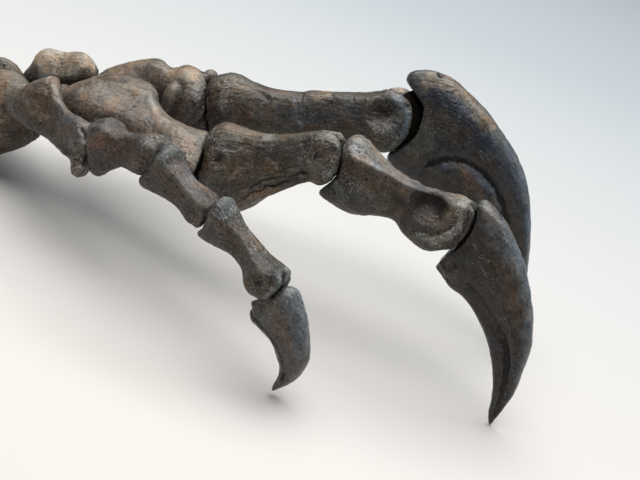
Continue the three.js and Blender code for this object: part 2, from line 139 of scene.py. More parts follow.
def nearest_on(path, x, z, open_ends=False):
    """Distance from points to a path of straight stretches, the length along it and the side."""
    path = np.array(path, float)
    best = np.full(x.shape, np.inf)
    length = np.zeros(x.shape)
    side = np.ones(x.shape)
    reached = 0.0
    for i, (start, end) in enumerate(zip(path[:-1], path[1:])):
        reach = np.linalg.norm(end - start)
        way = (end - start) / reach
        on = (x - start[0]) * way[0] + (z - start[1]) * way[1]
        off = (z - start[1]) * way[0] - (x - start[0]) * way[1]
        low = -np.inf if open_ends and i == 0 else 0
        high = np.inf if open_ends and i == len(path) - 2 else reach
        held = np.clip(on, low, high)
        away = np.hypot(on - held, off)
        closer = away < best
        best = np.where(closer, away, best)
        length = np.where(closer, reached + held, length)
        side = np.where(closer, np.sign(off), side)
        reached += reach
    return best, length, side


# Entries in the tables behind lumps and pinholes, a power of two, and what brings lumps to about 1
TABLE = 256
LUMP_GAIN = 1.7


def picked(order, key):
    """The table entry that belongs to each cell."""
    row = order[key[:, 0] & (TABLE - 1)]
    row = order[(row + key[:, 1]) & (TABLE - 1)]
    return order[(row + key[:, 2]) & (TABLE - 1)]


def lumps(points, size, seed):
    """Smooth noise from about -1 to 1, in lumps of about this size."""
    rng = np.random.default_rng(seed)
    slopes = rng.normal(size=(TABLE, 3))
    slopes /= np.linalg.norm(slopes, axis=1)[:, None]
    order = rng.permutation(TABLE)
    cell = np.floor(points / size).astype(int)
    inside = points / size - cell
    fade = inside ** 3 * (inside * (inside * 6 - 15) + 10)
    total = np.zeros(len(points))
    for corner in itertools.product((0, 1), repeat=3):
        value = ((inside - corner) * slopes[picked(order, cell + corner)]).sum(1)
        total += value * np.where(corner, fade, 1 - fade).prod(1)
    return total * LUMP_GAIN


def raised(points, relief, seed):
    """Lumps of one relief, which is their size and their height."""
    size, height = relief
    return height * lumps(points, size, seed)


def pinholes(points, spacing, seed):
    """Distance to the nearest of a scatter of pinholes, in spacings, and that one's own number."""
    rng = np.random.default_rng(seed)
    scatter = rng.random((TABLE, 4))
    order = rng.permutation(TABLE)
    cell = np.floor(points / spacing).astype(int)
    best = np.full(len(points), np.inf)
    number = np.zeros(len(points))
    for offset in itertools.product((-1, 0, 1), repeat=3):
        key = cell + offset
        pick = picked(order, key)
        away = np.linalg.norm(points / spacing - key - scatter[pick, :3], axis=1)
        closer = away < best
        best = np.where(closer, away, best)
        number = np.where(closer, scatter[pick, 3], number)
    return best, number


def mesh_of(points, faces):
    mesh = bpy.data.meshes.new("form")
    mesh.from_pydata([tuple(p) for p in points], [], faces)
    mesh.update()
    return mesh


def places_in(mesh, what="co"):
    values = np.zeros(len(mesh.vertices) * 3)
    mesh.vertices.foreach_get(what, values)
    return values.reshape(-1, 3)


def place_all(mesh, points):
    mesh.vertices.foreach_set("co", points.astype(np.float32).ravel())
    mesh.update()


def edges_of(mesh):
    ends = np.zeros(len(mesh.edges) * 2, int)
    mesh.edges.foreach_get("vertices", ends)
    return ends.reshape(-1, 2)


def placed(name, data):
    """A new object in the scene."""
    thing = bpy.data.objects.new(name, data)
    bpy.context.scene.collection.objects.link(thing)
    return thing


def tooled(mesh, kind, **settings):
    """The mesh that one modifier makes of this one."""
    work = placed("work", mesh)
    tool = work.modifiers.new("tool", kind)
    for setting, value in settings.items():
        setattr(tool, setting, value)
    ready = work.evaluated_get(bpy.context.evaluated_depsgraph_get())
    result = bpy.data.meshes.new_from_object(ready)
    bpy.data.objects.remove(work)
    return result


def evened(mesh, edge):
    return tooled(mesh, "REMESH", mode="VOXEL", voxel_size=edge)


def combined(mesh, other, how):
    """The mesh with another taken out of it, or joined to it."""
    partner = placed("partner", other)
    result = tooled(mesh, "BOOLEAN", operation=how, solver="MANIFOLD", object=partner)
    bpy.data.objects.remove(partner)
    return result


def cut_from(mesh, other, gap):
    """The mesh cut back to clear another by a gap."""
    swollen = other.copy()
    place_all(swollen, places_in(other) + places_in(other, "normal") * gap)
    return combined(mesh, swollen, "DIFFERENCE")


def capped_rings(sides, last, turned=False):
    """Faces of a closed form: its first point, rings of this many sides, and its last point.
    Turned, they face the other way."""
    faces = []
    for i in range(sides):
        nxt = (i + 1) % sides
        faces.append((0, 1 + nxt, 1 + i))
        faces.append((last, last - sides + i, last - sides + nxt))
        for row in range(1, last - sides, sides):
            faces.append((row + i, row + nxt, row + nxt + sides, row + i + sides))
    return [(face[0], *face[:0:-1]) for face in faces] if turned else faces


def in_frame(points):
    """Points of the hand in the frame's metres, kept inside the plain model's box."""
    ground = points @ laid_down.T + np.array(HAND_SHIFT)
    low, high = np.array(cad_box)
    return np.clip(ground / 1000, low, high)


def relaxed(points, edges, rounds):
    """Points eased towards their neighbours, a half step each round."""
    a, b = edges.T
    count = np.bincount(edges.ravel(), minlength=len(points))[:, None]
    for _ in range(rounds):
        pulls = [
            np.bincount(a, points[b, k], len(points)) + np.bincount(b, points[a, k], len(points))
            for k in range(3)
        ]
        points = (points + np.stack(pulls, 1) / count) / 2
    return points


def dent(at, size, depth, turn=0):
    """A hollow seen from the bone's side, or with a negative depth a boss."""
    lean = math.radians(turn)

    def press(x, z):
        on = (x - at[0]) * math.cos(lean) + (z - at[1]) * math.sin(lean)
        off = (z - at[1]) * math.cos(lean) - (x - at[0]) * math.sin(lean)
        return -depth * np.exp(-((on / size[0]) ** 2) - (off / size[1]) ** 2)

    return press


def ridge(path, width, height):
    """A raised line seen from the bone's side, or with a negative height a groove."""
    return lambda x, z: height * np.exp(-((nearest_on(path, x, z)[0] / width) ** 2))


def ring(at, radius, width, height):
    """A raised round rim seen from the bone's side."""
    def raise_rim(x, z):
        away = np.hypot(x - at[0], z - at[1]) - radius
        return height * np.exp(-((away / width) ** 2))

    return raise_rim


# Where the soft edge of a blotch starts and ends, and the share of a line that is full colour
BLOTCH_EDGE = (0.25, 0.75)
LINE_CORE = 0.4


def patch(at, size, turn=0):
    """How much of a blotch of colour lies at each place seen from the side."""
    hollow = dent(at, size, -1, turn)
    return lambda x, z: soft_step(hollow(x, z), *BLOTCH_EDGE)


def line(path, width):
    """How much of a line of colour lies at each place seen from the side."""
    return lambda x, z: 1 - soft_step(nearest_on(path, x, z)[0], width * LINE_CORE, width)


# The skin of a bone as reliefs, each a size and a height: broad and small swells, creases, grains,
# streaks along the bone and grit. Creases and grains stand this much higher at the ends.
BROAD_SWELL = (12, 0.36)
SMALL_SWELL = (5.5, 0.22)
CREASE_SIZE = 3.4
CREASE_HEIGHT = 0.10
CREASE_AT_ENDS = 0.30
CREASE_LIMIT = 0.5
GRAIN_SIZE = 1.7
GRAIN_HEIGHT = 0.08
GRAIN_AT_ENDS = 0.16
STREAK_SIZE = 1.5
STREAK_HEIGHT = 0.13
STREAK_STRETCH = (0.16, 1, 1)
GRIT = (0.95, 0.09)
# Pores: how far apart they may lie, how wide for that, how deep, and the share that stays closed,
# less at the ends
PORE_SPACING = 5.2
PORE_WIDTH = 0.2
PORE_DEPTH = 0.5
CLOSED_PORES = 0.86
OPEN_AT_ENDS = 0.3
# How much the skin is lowered to make room for all that stands on it
SKIN_ALLOWANCE = 0.15
# Rounds of easing that take the steps out of a remeshed surface
SETTLING_ROUNDS = 2
# Where a bone's ends start and are full, as shares of the way from its middle
END_ZONE = (0.45, 0.95)
# How the given marks wander, as the size of the bends and how far they go, and how fast the
# marks come in off the bone's edges
MARK_WANDER = (4, 0.7)
SIDE_GAIN = 1.8
# The hollow layer, which the finish darkens as painted shade with dirt: its value where it is flat,
# and the gain and rounds of easing that find the fine and the broad hollows
FLAT = 0.5
FINE_HOLLOW = 2.3
FINE_ROUNDS = 4
BROAD_HOLLOW = 0.4
BROAD_ROUNDS = 30
# The back and palm tones follow the way a place faces, so they also paint light and shade: a
# lighter back is painted light from above, a darker palm side painted shade underneath.
# How much the way a place faces and its height on the bone count in telling back from palm, where
# the tones of both start and are full, and how their edges wander, as sizes and heights
FACING_SHARE = 0.6
HEIGHT_SHARE = 0.4
BACK_ZONE = (0.12, 0.72)
PALM_ZONE = (0.2, 0.9)
BROAD_DRIFT = (9, 0.2)
SMALL_DRIFT = (3, 0.12)
# How the edges of stains fray, as the size of the bends and how far they go
BROAD_FRAY = (7, 2.2)
SMALL_FRAY = (2.2, 0.8)


class Bone:
    """A bone drawn from the side by four outlines: back and palm run from its base to its head,
    and base and head run from palm to back, between those corners. Thickness gives its half
    widths, lean pushes its back towards the thumb, and swing carries its head the other way.
    Square makes the back of its section boxier, flare makes that broader, and shoulders give the
    height of an edge along each side, from which the back rises like a roof."""

    made = {}

    def __init__(self, name, place, back, palm, thickness, base=(), head=(), lean=0, swing=0,
                 square=2.3, flare=0, shoulders=(), groove=0, pits=(), furrow=None):
        self.name = name
        self.shoulders = shoulders
        self.place = np.array(place)
        self.lean = lean
        self.swing = swing
        self.square = square
        self.flare = flare
        self.groove = groove
        self.pits = pits
        self.furrow = furrow
        self.back = smooth_line(back)
        self.palm = smooth_line(palm)
        self.base = smooth_line([palm[0], *base, back[0]])
        self.head = smooth_line([palm[-1], *head, back[-1]])
        self.half_widths = smooth_line(np.array(thickness, float))
        middle = self.side(np.array([1, HEAD_ROOT]), np.array([0.5, 0.5]))
        self.head_centre = middle[0] + (middle[1] - middle[0]) * HEAD_INSET
        self.spine = self.side(np.linspace(0, 1, SPINE_STEPS), np.full(SPINE_STEPS, 0.5))
        self.length = np.linalg.norm(np.diff(self.spine, axis=0), axis=1).sum()
        self.mesh = evened(mesh_of(*self.skin()), ROUGH_EDGE)
        Bone.made[name] = self

    def side(self, u, t):
        """Point of the side view: u runs from base to head, t from palm to back."""
        zero = np.zeros_like(u)
        across = blend(at_shares(self.palm, u), at_shares(self.back, u), t)
        lengthways = blend(at_shares(self.base, t), at_shares(self.head, t), u)
        palm_edge = blend(at_shares(self.palm, zero), at_shares(self.palm, zero + 1), u)
        back_edge = blend(at_shares(self.back, zero), at_shares(self.back, zero + 1), u)
        return across + lengthways - blend(palm_edge, back_edge, t)

    def surface(self, u, up, out):
        """Point of the surface: up and out lie on the unit disc of the bone's section."""
        seen = self.side(u, (up + 1) / 2)
        if self.groove:
            pull = self.groove * np.exp(-((out / GROOVE_WIDTH) ** 2))
            pull *= soft_step(u, HEAD_STARTS, HEAD_FULL)
            inward = self.head_centre - seen
            pull = pull / np.maximum(1, np.linalg.norm(inward, axis=-1))
            seen = seen + inward * pull[..., None]
        x, z = seen[..., 0], seen[..., 1]
        y = out * np.interp(u, np.linspace(0, 1, len(self.half_widths)), self.half_widths)
        y = y * (1 + self.flare * np.maximum(up, 0))
        for at, radius, depth in self.pits:
            away = np.hypot(x - at[0], z - at[1]) / radius
            deep = np.minimum(depth, np.abs(y) * DEEPEST_PIT)
            y = y - np.sign(out) * deep * np.exp(-(away ** 2))
        if self.furrow:
            path, width, depth = self.furrow
            away = nearest_on(path, x, z)[0] / width
            deep = np.minimum(depth, np.abs(y) * DEEPEST_FURROW)
            y = y - np.sign(out) * deep * np.exp(-(away ** 2))
        middle = self.side(u, np.full(u.shape, 0.5))[..., 1]
        return np.stack([x, y + self.lean * (z - middle) - self.swing * u, z], -1)

    def skin(self):
        """Points and faces of the closed form, in the hand's frame."""
        even = np.linspace(0, 1, LENGTH_STEPS + 1)[1:-1]
        crowded = even + ((1 - np.cos(even * math.pi)) / 2 - even) * END_CROWDING
        rings = np.arange(1, END_RINGS + 1) / END_RINGS
        u = np.concatenate([np.zeros(END_RINGS), crowded, np.ones(END_RINGS)])
        scale = np.concatenate([rings, np.ones(len(even)), rings[::-1]])
        angle = np.arange(SECTION_SIDES) / SECTION_SIDES * 2 * math.pi
        in_head = soft_step(u, HEAD_STARTS, HEAD_FULL) if self.groove else np.zeros(len(u))
        rise = np.sin(angle)
        run = np.cos(angle)
        squareness = (self.square + HEAD_SQUARENESS * in_head)[:, None]
        power = 2 / np.where(rise > 0, squareness, min(self.square, UNDER_SQUARENESS))
        up = np.sign(rise) * np.abs(rise) ** power
        out = np.sign(run) * np.abs(run) ** power
        if self.shoulders:
            edge = np.interp(u, np.linspace(0, 1, len(self.shoulders)), self.shoulders)[:, None]
            climb = np.arcsin(np.abs(rise)) / math.pi * 4
            past = np.clip(climb - 1, 0, 1)
            roof = edge + (1 - edge) * (past + np.sin(past * math.pi / 2)) / 2
            share = np.where(rise > 0, ROOF_SHARE, 0)
            up = up + (np.where(climb < 1, edge * climb, roof) - up) * share
            out = out + (np.sign(run) * (1 - past) - out) * share
        up = up * scale[:, None]
        out = out * scale[:, None]
        loops = self.surface(u[:, None] + np.zeros_like(up), up, out).reshape(-1, 3)
        ends = self.surface(np.array([0.0, 1.0]), np.zeros(2), np.zeros(2))
        points = np.concatenate([ends[:1], loops, ends[1:]])
        return self.in_hand(points), capped_rings(SECTION_SIDES, len(points) - 1)

    def in_hand(self, points):
        return points @ self.place[:3, :3].T + self.place[:3, 3]

    def in_bone(self, points):
        return (points - self.place[:3, 3]) @ self.place[:3, :3]

    def cut_back(self, *neighbours, gap=TOUCH_GAP):
        for neighbour in neighbours:
            self.mesh = cut_from(self.mesh, Bone.made[neighbour].mesh, gap)

    def work(self, seed, marks=(), rough=1.0):
        """Works the surface: the given marks, then dents, wear and pores over the whole."""
        self.mesh = evened(self.mesh, FINE_EDGE)
        edges = edges_of(self.mesh)
        place_all(self.mesh, relaxed(places_in(self.mesh), edges, SETTLING_ROUNDS))
        points = places_in(self.mesh)
        normals = places_in(self.mesh, "normal")
        here = self.in_bone(points)
        self.facing = normals @ self.place[:3, 2]
        sideways = np.clip(np.abs(normals @ self.place[:3, 1]) * SIDE_GAIN, 0, 1)
        wander = np.stack([raised(here, MARK_WANDER, seed + k) for k in (1, 2)], 1)
        x = here[:, 0] + wander[:, 0]
        z = here[:, 2] + wander[:, 1]
        away, along, side = nearest_on(self.spine, here[:, 0], here[:, 2], open_ends=True)
        self.grain = np.stack([along, here[:, 1], away * side], 1)
        ends = soft_step(np.abs(along / self.length - 0.5) * 2, *END_ZONE)

        lift = sum((mark(x, z) for mark in marks), np.zeros(len(points))) * sideways
        lift += raised(here, BROAD_SWELL, seed + 3) + raised(here, SMALL_SWELL, seed + 4)
        creases = np.abs(lumps(here + wander[:, [0, 1, 1]], CREASE_SIZE, seed + 5))
        creases = np.minimum(creases, CREASE_LIMIT)
        lift += (CREASE_HEIGHT + CREASE_AT_ENDS * ends) * rough * creases
        grains = lumps(here, GRAIN_SIZE, seed + 6)
        lift += (GRAIN_HEIGHT + GRAIN_AT_ENDS * ends * rough) * grains
        streaks = lumps(self.grain * STREAK_STRETCH, STREAK_SIZE, seed + 7)
        lift += STREAK_HEIGHT * rough * streaks + raised(here, GRIT, seed + 10)
        away, number = pinholes(here, PORE_SPACING, seed + 8)
        pores = np.exp(-((away / PORE_WIDTH) ** 2)) * (number > CLOSED_PORES - OPEN_AT_ENDS * ends)
        lift -= PORE_DEPTH * rough * pores

        self.smooth = points
        worked = points + normals * (lift - SKIN_ALLOWANCE)[:, None]
        place_all(self.mesh, worked)
        normals = places_in(self.mesh, "normal")
        fine = ((relaxed(worked, edges, FINE_ROUNDS) - worked) * normals).sum(1)
        broad = ((relaxed(worked, edges, BROAD_ROUNDS) - worked) * normals).sum(1)
        self.hollow = np.clip(FLAT + fine * FINE_HOLLOW + broad * BROAD_HOLLOW, 0, 1)
        self.here = here
        self.ends = ends
        self.across = np.clip(self.grain[:, 2] / self.half_depth(), -1, 1)

    def half_depth(self):
        """Half the height of the bone's side where each of its points lies."""
        share = np.linspace(0, 1, SPINE_STEPS)
        top = self.side(share, np.ones(SPINE_STEPS))
        low = self.side(share, np.zeros(SPINE_STEPS))
        half = np.linalg.norm(top - low, axis=1) / 2
        return np.interp(self.grain[:, 0] / self.length, share, half)

    def colour(self, seed, body, back, palm, stains=(), flecks=0.2, crust=()):
        """Colours the surface: a body tone, tones towards its back and palm, stains, and pale
        flecks, which lie thicker where there is a crust. The back and palm tones go by the way a
        place faces, so beside the bone's own colour they paint light on its top and shade
        underneath."""
        here = self.here
        wander = raised(here, BROAD_DRIFT, seed) + raised(here, SMALL_DRIFT, seed + 1)
        tone = np.tile(np.array(body, float), (len(here), 1))
        # Back and palm tones by facing: painted light on top and painted shade underneath, with the
        # bone's own colour
        height = FACING_SHARE * self.facing + HEIGHT_SHARE * self.across
        tone = blend(tone, np.array(back), soft_step(height + wander, *BACK_ZONE))
        tone = blend(tone, np.array(palm), soft_step(-height + wander, *PALM_ZONE))
        x, z = (
            here[:, k] + raised(here, BROAD_FRAY, draw) + raised(here, SMALL_FRAY, draw + 2)
            for k, draw in ((0, seed + 2), (2, seed + 3))
        )
        for shade, strength, stain in stains:
            tone = blend(tone, np.array(shade), stain(x, z) * strength)
        self.tone = tone
        self.flecks = flecks * (1 + self.ends) / 2
        for amount, spread in crust:
            self.flecks = self.flecks + amount * spread(x, z)

    def lay_down(self, finish):
        """The finished bone as a piece of the model, in the place of the plain one."""
        place_all(self.mesh, in_frame(places_in(self.mesh)))
        mesh = self.mesh.copy()
        mesh.name = "fossil_" + self.name
        layers = {
            "tone": ("FLOAT_COLOR", "color", np.c_[self.tone, np.ones(len(self.tone))]),
            "grain": ("FLOAT_VECTOR", "vector", self.grain),
            "hollow": ("FLOAT", "value", self.hollow),
            "flecks": ("FLOAT", "value", self.flecks),
        }
        for layer, (kind, field, values) in layers.items():
            attribute = mesh.attributes.new(layer, kind, "POINT")
            attribute.data.foreach_set(field, values.astype(np.float32).ravel())
        mesh.shade_smooth()
        mesh.materials.clear()
        mesh.materials.append(finish)
        piece = placed("fossil_" + self.name, mesh)
        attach(piece, "root")
        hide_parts(self.name)
        self.piece = piece
        place_all(self.mesh, self.smooth)


class Finish:
    """Wires a procedural finish, one node at a time."""

    def __init__(self, name):
        self.material = bpy.data.materials.new(name)
        self.material.use_nodes = True
        self.tree = self.material.node_tree
        self.tree.nodes.clear()

    def add(self, kind, inputs, output=0, **settings):
        node = self.tree.nodes.new("ShaderNode" + kind)
        for setting, value in settings.items():
            setattr(node, setting, value)
        for key, value in inputs.items():
            if isinstance(value, bpy.types.NodeSocket):
                self.tree.links.new(value, node.inputs[key])
            else:
                node.inputs[key].default_value = value
        return node.outputs[output]

    def show(self, surface):
        output = self.tree.nodes.new("ShaderNodeOutputMaterial")
        self.tree.links.new(surface, output.inputs["Surface"])

    def layer(self, name, output):
        return self.add("Attribute", {}, output, attribute_name=name)

    def noise(self, vector, scale, detail, roughness):
        inputs = {"Vector": vector, "Scale": scale, "Detail": detail, "Roughness": roughness}
        return self.add("TexNoise", inputs)

    def spread(self, value, low, high, to_low=0.0, to_high=1.0):
        given = {"Value": value, "From Min": low, "From Max": high}
        return self.add("MapRange", {**given, "To Min": to_low, "To Max": to_high})

    def maths(self, operation, a, b):
        return self.add("Math", {0: a, 1: b}, operation=operation)

    def mixed(self, share, a, b, how="MIX"):
        return self.add("Mix", {0: share, 6: a, 7: b}, 2, data_type="RGBA", blend_type=how)

    def stretched(self, vector, scale):
        return self.add("VectorMath", {0: vector, 1: scale}, operation="MULTIPLY")


# How strongly the stone reflects, 0.5 being plain glass, and how its tones drift warm and cool
SHEEN = 0.36
WARM = (1.27, 1.0, 0.75, 1)
COOL = (0.84, 0.98, 1.13, 1)
# Patterns in the stone, each as marks in a millimetre, detail and roughness
CLOUDS = (0.15, 8, 0.68)
DRIFT = (0.085, 8, 0.66)
LONG_GRAIN = (0.8, 4, 0.6)
STONE_GRIT = (0.72, 3, 0.7)
FILM = (0.33, 6, 0.72)
CRUST_PATCHES = (0.21, 5, 0.7)
FLECKS = (0.9, 2, 0.55)
SCRATCHES = (1.25, 1, 0.4)
SCRATCHED_PARTS = (0.16, 2, 0.5)
CRACKED_PARTS = (0.05, 2, 0.5)
# Dots and the plates between cracks in a millimetre, and how the cracks wander
DOTS = 0.8
PLATES = 0.075
CRACK_WANDER = {"Scale": 0.3, "Detail": 4.0}
CRACK_BEND = (4.5, 4.5, 4.5)
# How far the patterns are drawn out along the bone
DRIFT_STRETCH = (0.7, 1, 1)
GRAIN_STRETCH = (0.07, 1, 1)
FILM_STRETCH = (0.5, 1, 1)
SCRATCH_STRETCH = (0.06, 1, 1)
PLATE_STRETCH = (0.4, 1, 1)
# Which way the scratches run off the bone's length, in radians
SCRATCH_WAYS = (-0.12, 0.75)
# Where each effect starts and is full in its pattern, then its own range if that isn't 0 to 1
WARM_PARTS = (0.49, 0.62)
COOL_PARTS = (0.48, 0.36)
CLOUD_SHADES = (0.32, 0.68, 0.48, 1.55)
EVEN_PARTS = (0.30, 0.70)
FILM_PARTS = (0.56, 0.70)
FILM_GRIT = (0.42, 0.62)
CRUST_SWING = (0.36, 0.66, -0.22, 0.22)
FLECK_EDGE = (0.72, 0.79, 0.0, 0.85)
DOT_EDGE = (0.36, 0.22)
DOT_CHOICE = (0.80, 0.84)
DOT_STRENGTH = (0.05, 0.45, 0.1, 0.9)
SCRATCH_EDGE = (0.68, 0.73)
SCRATCH_STRENGTH = (0.56, 0.64, 0.0, 0.6)
WORN_EDGE = (0.42, 0.10)
WORN_GRIT = (0.35, 0.6, 0.15, 0.75)
# Painted shade with dirt in the hollows: where it starts and is full, and how strong it gets
HOLLOW_SHADE_DEPTH = (0.53, 0.78, 0.0, 0.9)
CRACK_EDGE = (0.009, 0.003)
CRACK_CHOICE = (0.55, 0.62)
HOLLOW_DULLNESS = (0.5, 0.9, 0.0, 0.22)
FLECK_DULLNESS = (0.74, 0.82, 0.0, 0.2)
FLECK_RELIEF = (0.70, 0.82, 0.0, 0.35)
# How much streaks and grit darken and lighten, and how strong film, flecks and cracks are
STREAK_SHADES = (0.34, 0.38)
GRIT_SHADES = (0.48, 0.55)
FILM_STRENGTH = 0.5
FLECK_GAIN = 0.30
CRACK_STRENGTH = 0.5
# How the shine varies about its middle
SHINE_SWING = (0.08, 0.10)
# The finest relief: its height in metres, its strength, and what grain and cracks add to it
FINEST_RELIEF = 0.0005
RELIEF_STRENGTH = 0.9
GRAIN_RELIEF = 0.7
CRACK_RELIEF = 0.7


def bone_finish(name, hollow_shade_and_dirt, bloom, fleck, gloss, streak, grain_depth=1.0):
    """Bone turned to stone: warm and cool clouds, streaks along its grain, grit, mineral bloom,
    pale flecks and scratches, hairline cracks, painted shade with dirt in its hollows and a satin
    shine. A higher gloss is duller. Streak and grain depth scale the streaks and the grit."""
    finish = Finish(name)
    tone = finish.layer("tone", "Color")
    grain = finish.layer("grain", "Vector")
    hollow = finish.layer("hollow", "Fac")
    flecks = finish.layer("flecks", "Fac")
    clouds = finish.noise(grain, *CLOUDS)
    drift = finish.noise(finish.stretched(grain, DRIFT_STRETCH), *DRIFT)
    long_grain = finish.noise(finish.stretched(grain, GRAIN_STRETCH), *LONG_GRAIN)
    grit = finish.noise(grain, *STONE_GRIT)

    # The bone's own tone, drifting warm and cool, clouded, streaked and gritty
    tinted = finish.mixed(
        finish.spread(drift, *WARM_PARTS), tone, finish.mixed(1.0, tone, WARM, "MULTIPLY")
    )
    tinted = finish.mixed(
        finish.spread(drift, *COOL_PARTS), tinted, finish.mixed(1.0, tone, COOL, "MULTIPLY")
    )
    clouded = finish.mixed(1.0, tinted, finish.spread(clouds, *CLOUD_SHADES), "MULTIPLY")
    darker, lighter = STREAK_SHADES
    bands = finish.spread(long_grain, *EVEN_PARTS, 1 - darker * streak, 1 + lighter * streak)
    streaked = finish.mixed(1.0, clouded, bands, "MULTIPLY")
    darker, lighter = GRIT_SHADES
    gritty = finish.spread(grit, *EVEN_PARTS, 1 - darker * grain_depth, 1 + lighter * grain_depth)
    gritty = finish.mixed(1.0, streaked, gritty, "MULTIPLY")

    # A thin film of mineral bloom
    film = finish.noise(finish.stretched(grain, FILM_STRETCH), *FILM)
    film = finish.maths(
        "MULTIPLY", finish.spread(film, *FILM_PARTS), finish.spread(grit, *FILM_GRIT)
    )
    hazed = finish.mixed(finish.maths("MULTIPLY", film, FILM_STRENGTH), gritty, (*bloom, 1))

    # Pale flecks and dots, thicker where the flecks layer says so
    patchy = finish.spread(finish.noise(grain, *CRUST_PATCHES), *CRUST_SWING)
    thick = finish.maths("ADD", flecks, patchy)
    grains = finish.noise(grain, *FLECKS)
    grains = finish.maths("ADD", grains, finish.maths("MULTIPLY", thick, FLECK_GAIN))
    crusted = finish.mixed(finish.spread(grains, *FLECK_EDGE), hazed, (*fleck, 1))
    scatter = {"Vector": grain, "Scale": DOTS}
    dot_far = finish.add("TexVoronoi", scatter)
    dot_own = finish.add("TexVoronoi", scatter, 1)
    dots = finish.maths(
        "MULTIPLY", finish.spread(dot_far, *DOT_EDGE),
        finish.spread(finish.add("SeparateColor", {"Color": dot_own}), *DOT_CHOICE),
    )
    dots = finish.maths("MULTIPLY", dots, finish.spread(thick, *DOT_STRENGTH))
    dotted = finish.mixed(dots, crusted, (*fleck, 1))

    # Fine scratches
    scored = dotted
    for turn in SCRATCH_WAYS:
        way = finish.add("VectorRotate", {"Vector": grain, "Angle": turn}, rotation_type="Y_AXIS")
        scores = finish.noise(finish.stretched(way, SCRATCH_STRETCH), *SCRATCHES)
        where = finish.spread(finish.noise(way, *SCRATCHED_PARTS), *SCRATCH_STRENGTH)
        scores = finish.maths("MULTIPLY", finish.spread(scores, *SCRATCH_EDGE), where)
        scored = finish.mixed(scores, scored, (*fleck, 1))

    # Wear on what stands out, painted shade with dirt in the hollows
    wear = finish.maths(
        "MULTIPLY", finish.spread(hollow, *WORN_EDGE), finish.spread(grit, *WORN_GRIT)
    )
    worn = finish.mixed(wear, scored, (*bloom, 1))
    hollow_shaded = finish.mixed(finish.spread(hollow, *HOLLOW_SHADE_DEPTH), worn, (*hollow_shade_and_dirt, 1))

    # Hairline cracks in some parts
    bend = finish.add("TexNoise", {"Vector": grain, **CRACK_WANDER}, 1)
    bent = finish.add("VectorMath", {0: grain, 1: finish.stretched(bend, CRACK_BEND)})
    plates = {"Vector": finish.stretched(bent, PLATE_STRETCH), "Scale": PLATES}
    crazing = finish.add("TexVoronoi", plates, feature="DISTANCE_TO_EDGE")
    cracked = finish.spread(crazing, *CRACK_EDGE)
    where = finish.spread(finish.noise(grain, *CRACKED_PARTS), *CRACK_CHOICE)
    cracked = finish.maths("MULTIPLY", cracked, where)
    lined = finish.mixed(finish.maths("MULTIPLY", cracked, CRACK_STRENGTH), hollow_shaded, (*hollow_shade_and_dirt, 1))

    # The shine, duller in hollows and on flecks, and the finest relief
    below, above = SHINE_SWING
    shine = finish.spread(clouds, *EVEN_PARTS, gloss - below, gloss + above)
    shine = finish.maths("ADD", shine, finish.spread(hollow, *HOLLOW_DULLNESS))
    shine = finish.maths("ADD", shine, finish.spread(grains, *FLECK_DULLNESS))
    height = finish.maths("ADD", grit, finish.maths("MULTIPLY", long_grain, GRAIN_RELIEF))
    height = finish.maths("ADD", height, finish.spread(grains, *FLECK_RELIEF))
    height = finish.maths("SUBTRACT", height, finish.maths("MULTIPLY", cracked, CRACK_RELIEF))
    bumps = {"Strength": RELIEF_STRENGTH, "Distance": FINEST_RELIEF * grain_depth}
    relief = finish.add("Bump", {**bumps, "Height": height})
    surface = {"Base Color": lined, "Roughness": shine, "Specular IOR Level": SHEEN}
    finish.show(finish.add("BsdfPrincipled", {**surface, "Normal": relief}))
    return finish.material


CREAM = (0.277, 0.237, 0.180)
SLATE = (0.074, 0.084, 0.094)
RUST = (0.105, 0.058, 0.037)
UMBER = (0.029, 0.020, 0.015)
# Near-black that paints the shade in hollows, grooves, cracks, holes and between the bones, with
# their dirt
SHADE_AND_DIRT = (0.015, 0.009, 0.007)

palm_finish = bone_finish(
    "palm_bone_stone", SHADE_AND_DIRT, bloom=(0.125, 0.115, 0.102), fleck=(0.27, 0.25, 0.215),
    gloss=0.38, streak=0.2, grain_depth=0.42,
)
knuckle_crease = [(41.2, 7.8), (48.8, 4.5), (54, -0.7), (55.5, -6.8)]

metacarpal_3 = Bone(
    "metacarpal_3",
    palm_place((-172, 22, 82), 38),
    back=[
        (-13, 1), (-10.5, 5), (-8, 9), (-4.5, 14.5), (-1, 19.5), (2, 21), (5, 21.5), (9, 19),
        (13, 15.5), (18, 12.5), (25, 11), (34, 12), (42, 13.5),
    ],
    palm=[
        (-10, -13.5), (-3, -14.5), (7.5, -13.5), (15.5, -12), (24.5, -10), (33, -10), (40, -10.5),
        (46, -9.8), (49.8, -12.4), (52.4, -15.3),
    ],
    base=[(-14, -9), (-15, -4)],
    head=[(55.5, -15.5), (58, -12), (58, -8), (56, -3), (53, 2), (47.5, 8)],
    thickness=[10, 14, 13, 10, 8.5, 8.5, 10, 12, 9],
    swing=50,
    lean=0.3,
)
metacarpal_3.work(10, [
    ridge([(-9, 6), (-4, 12), (3, 17), (10, 14), (16, 10)], 2.2, 1.1),
    dent((-2, 3), (6, 5), 1.2),
    dent((16, 3), (9, 5), 1.2),
    ridge(knuckle_crease, 1.6, -1.6),
    dent((45, -1), (5, 6), -1.1),
    dent((51.5, -12), (4.5, 3.5), -1.5),
    dent((41, -7), (4, 3), 1.2),
])
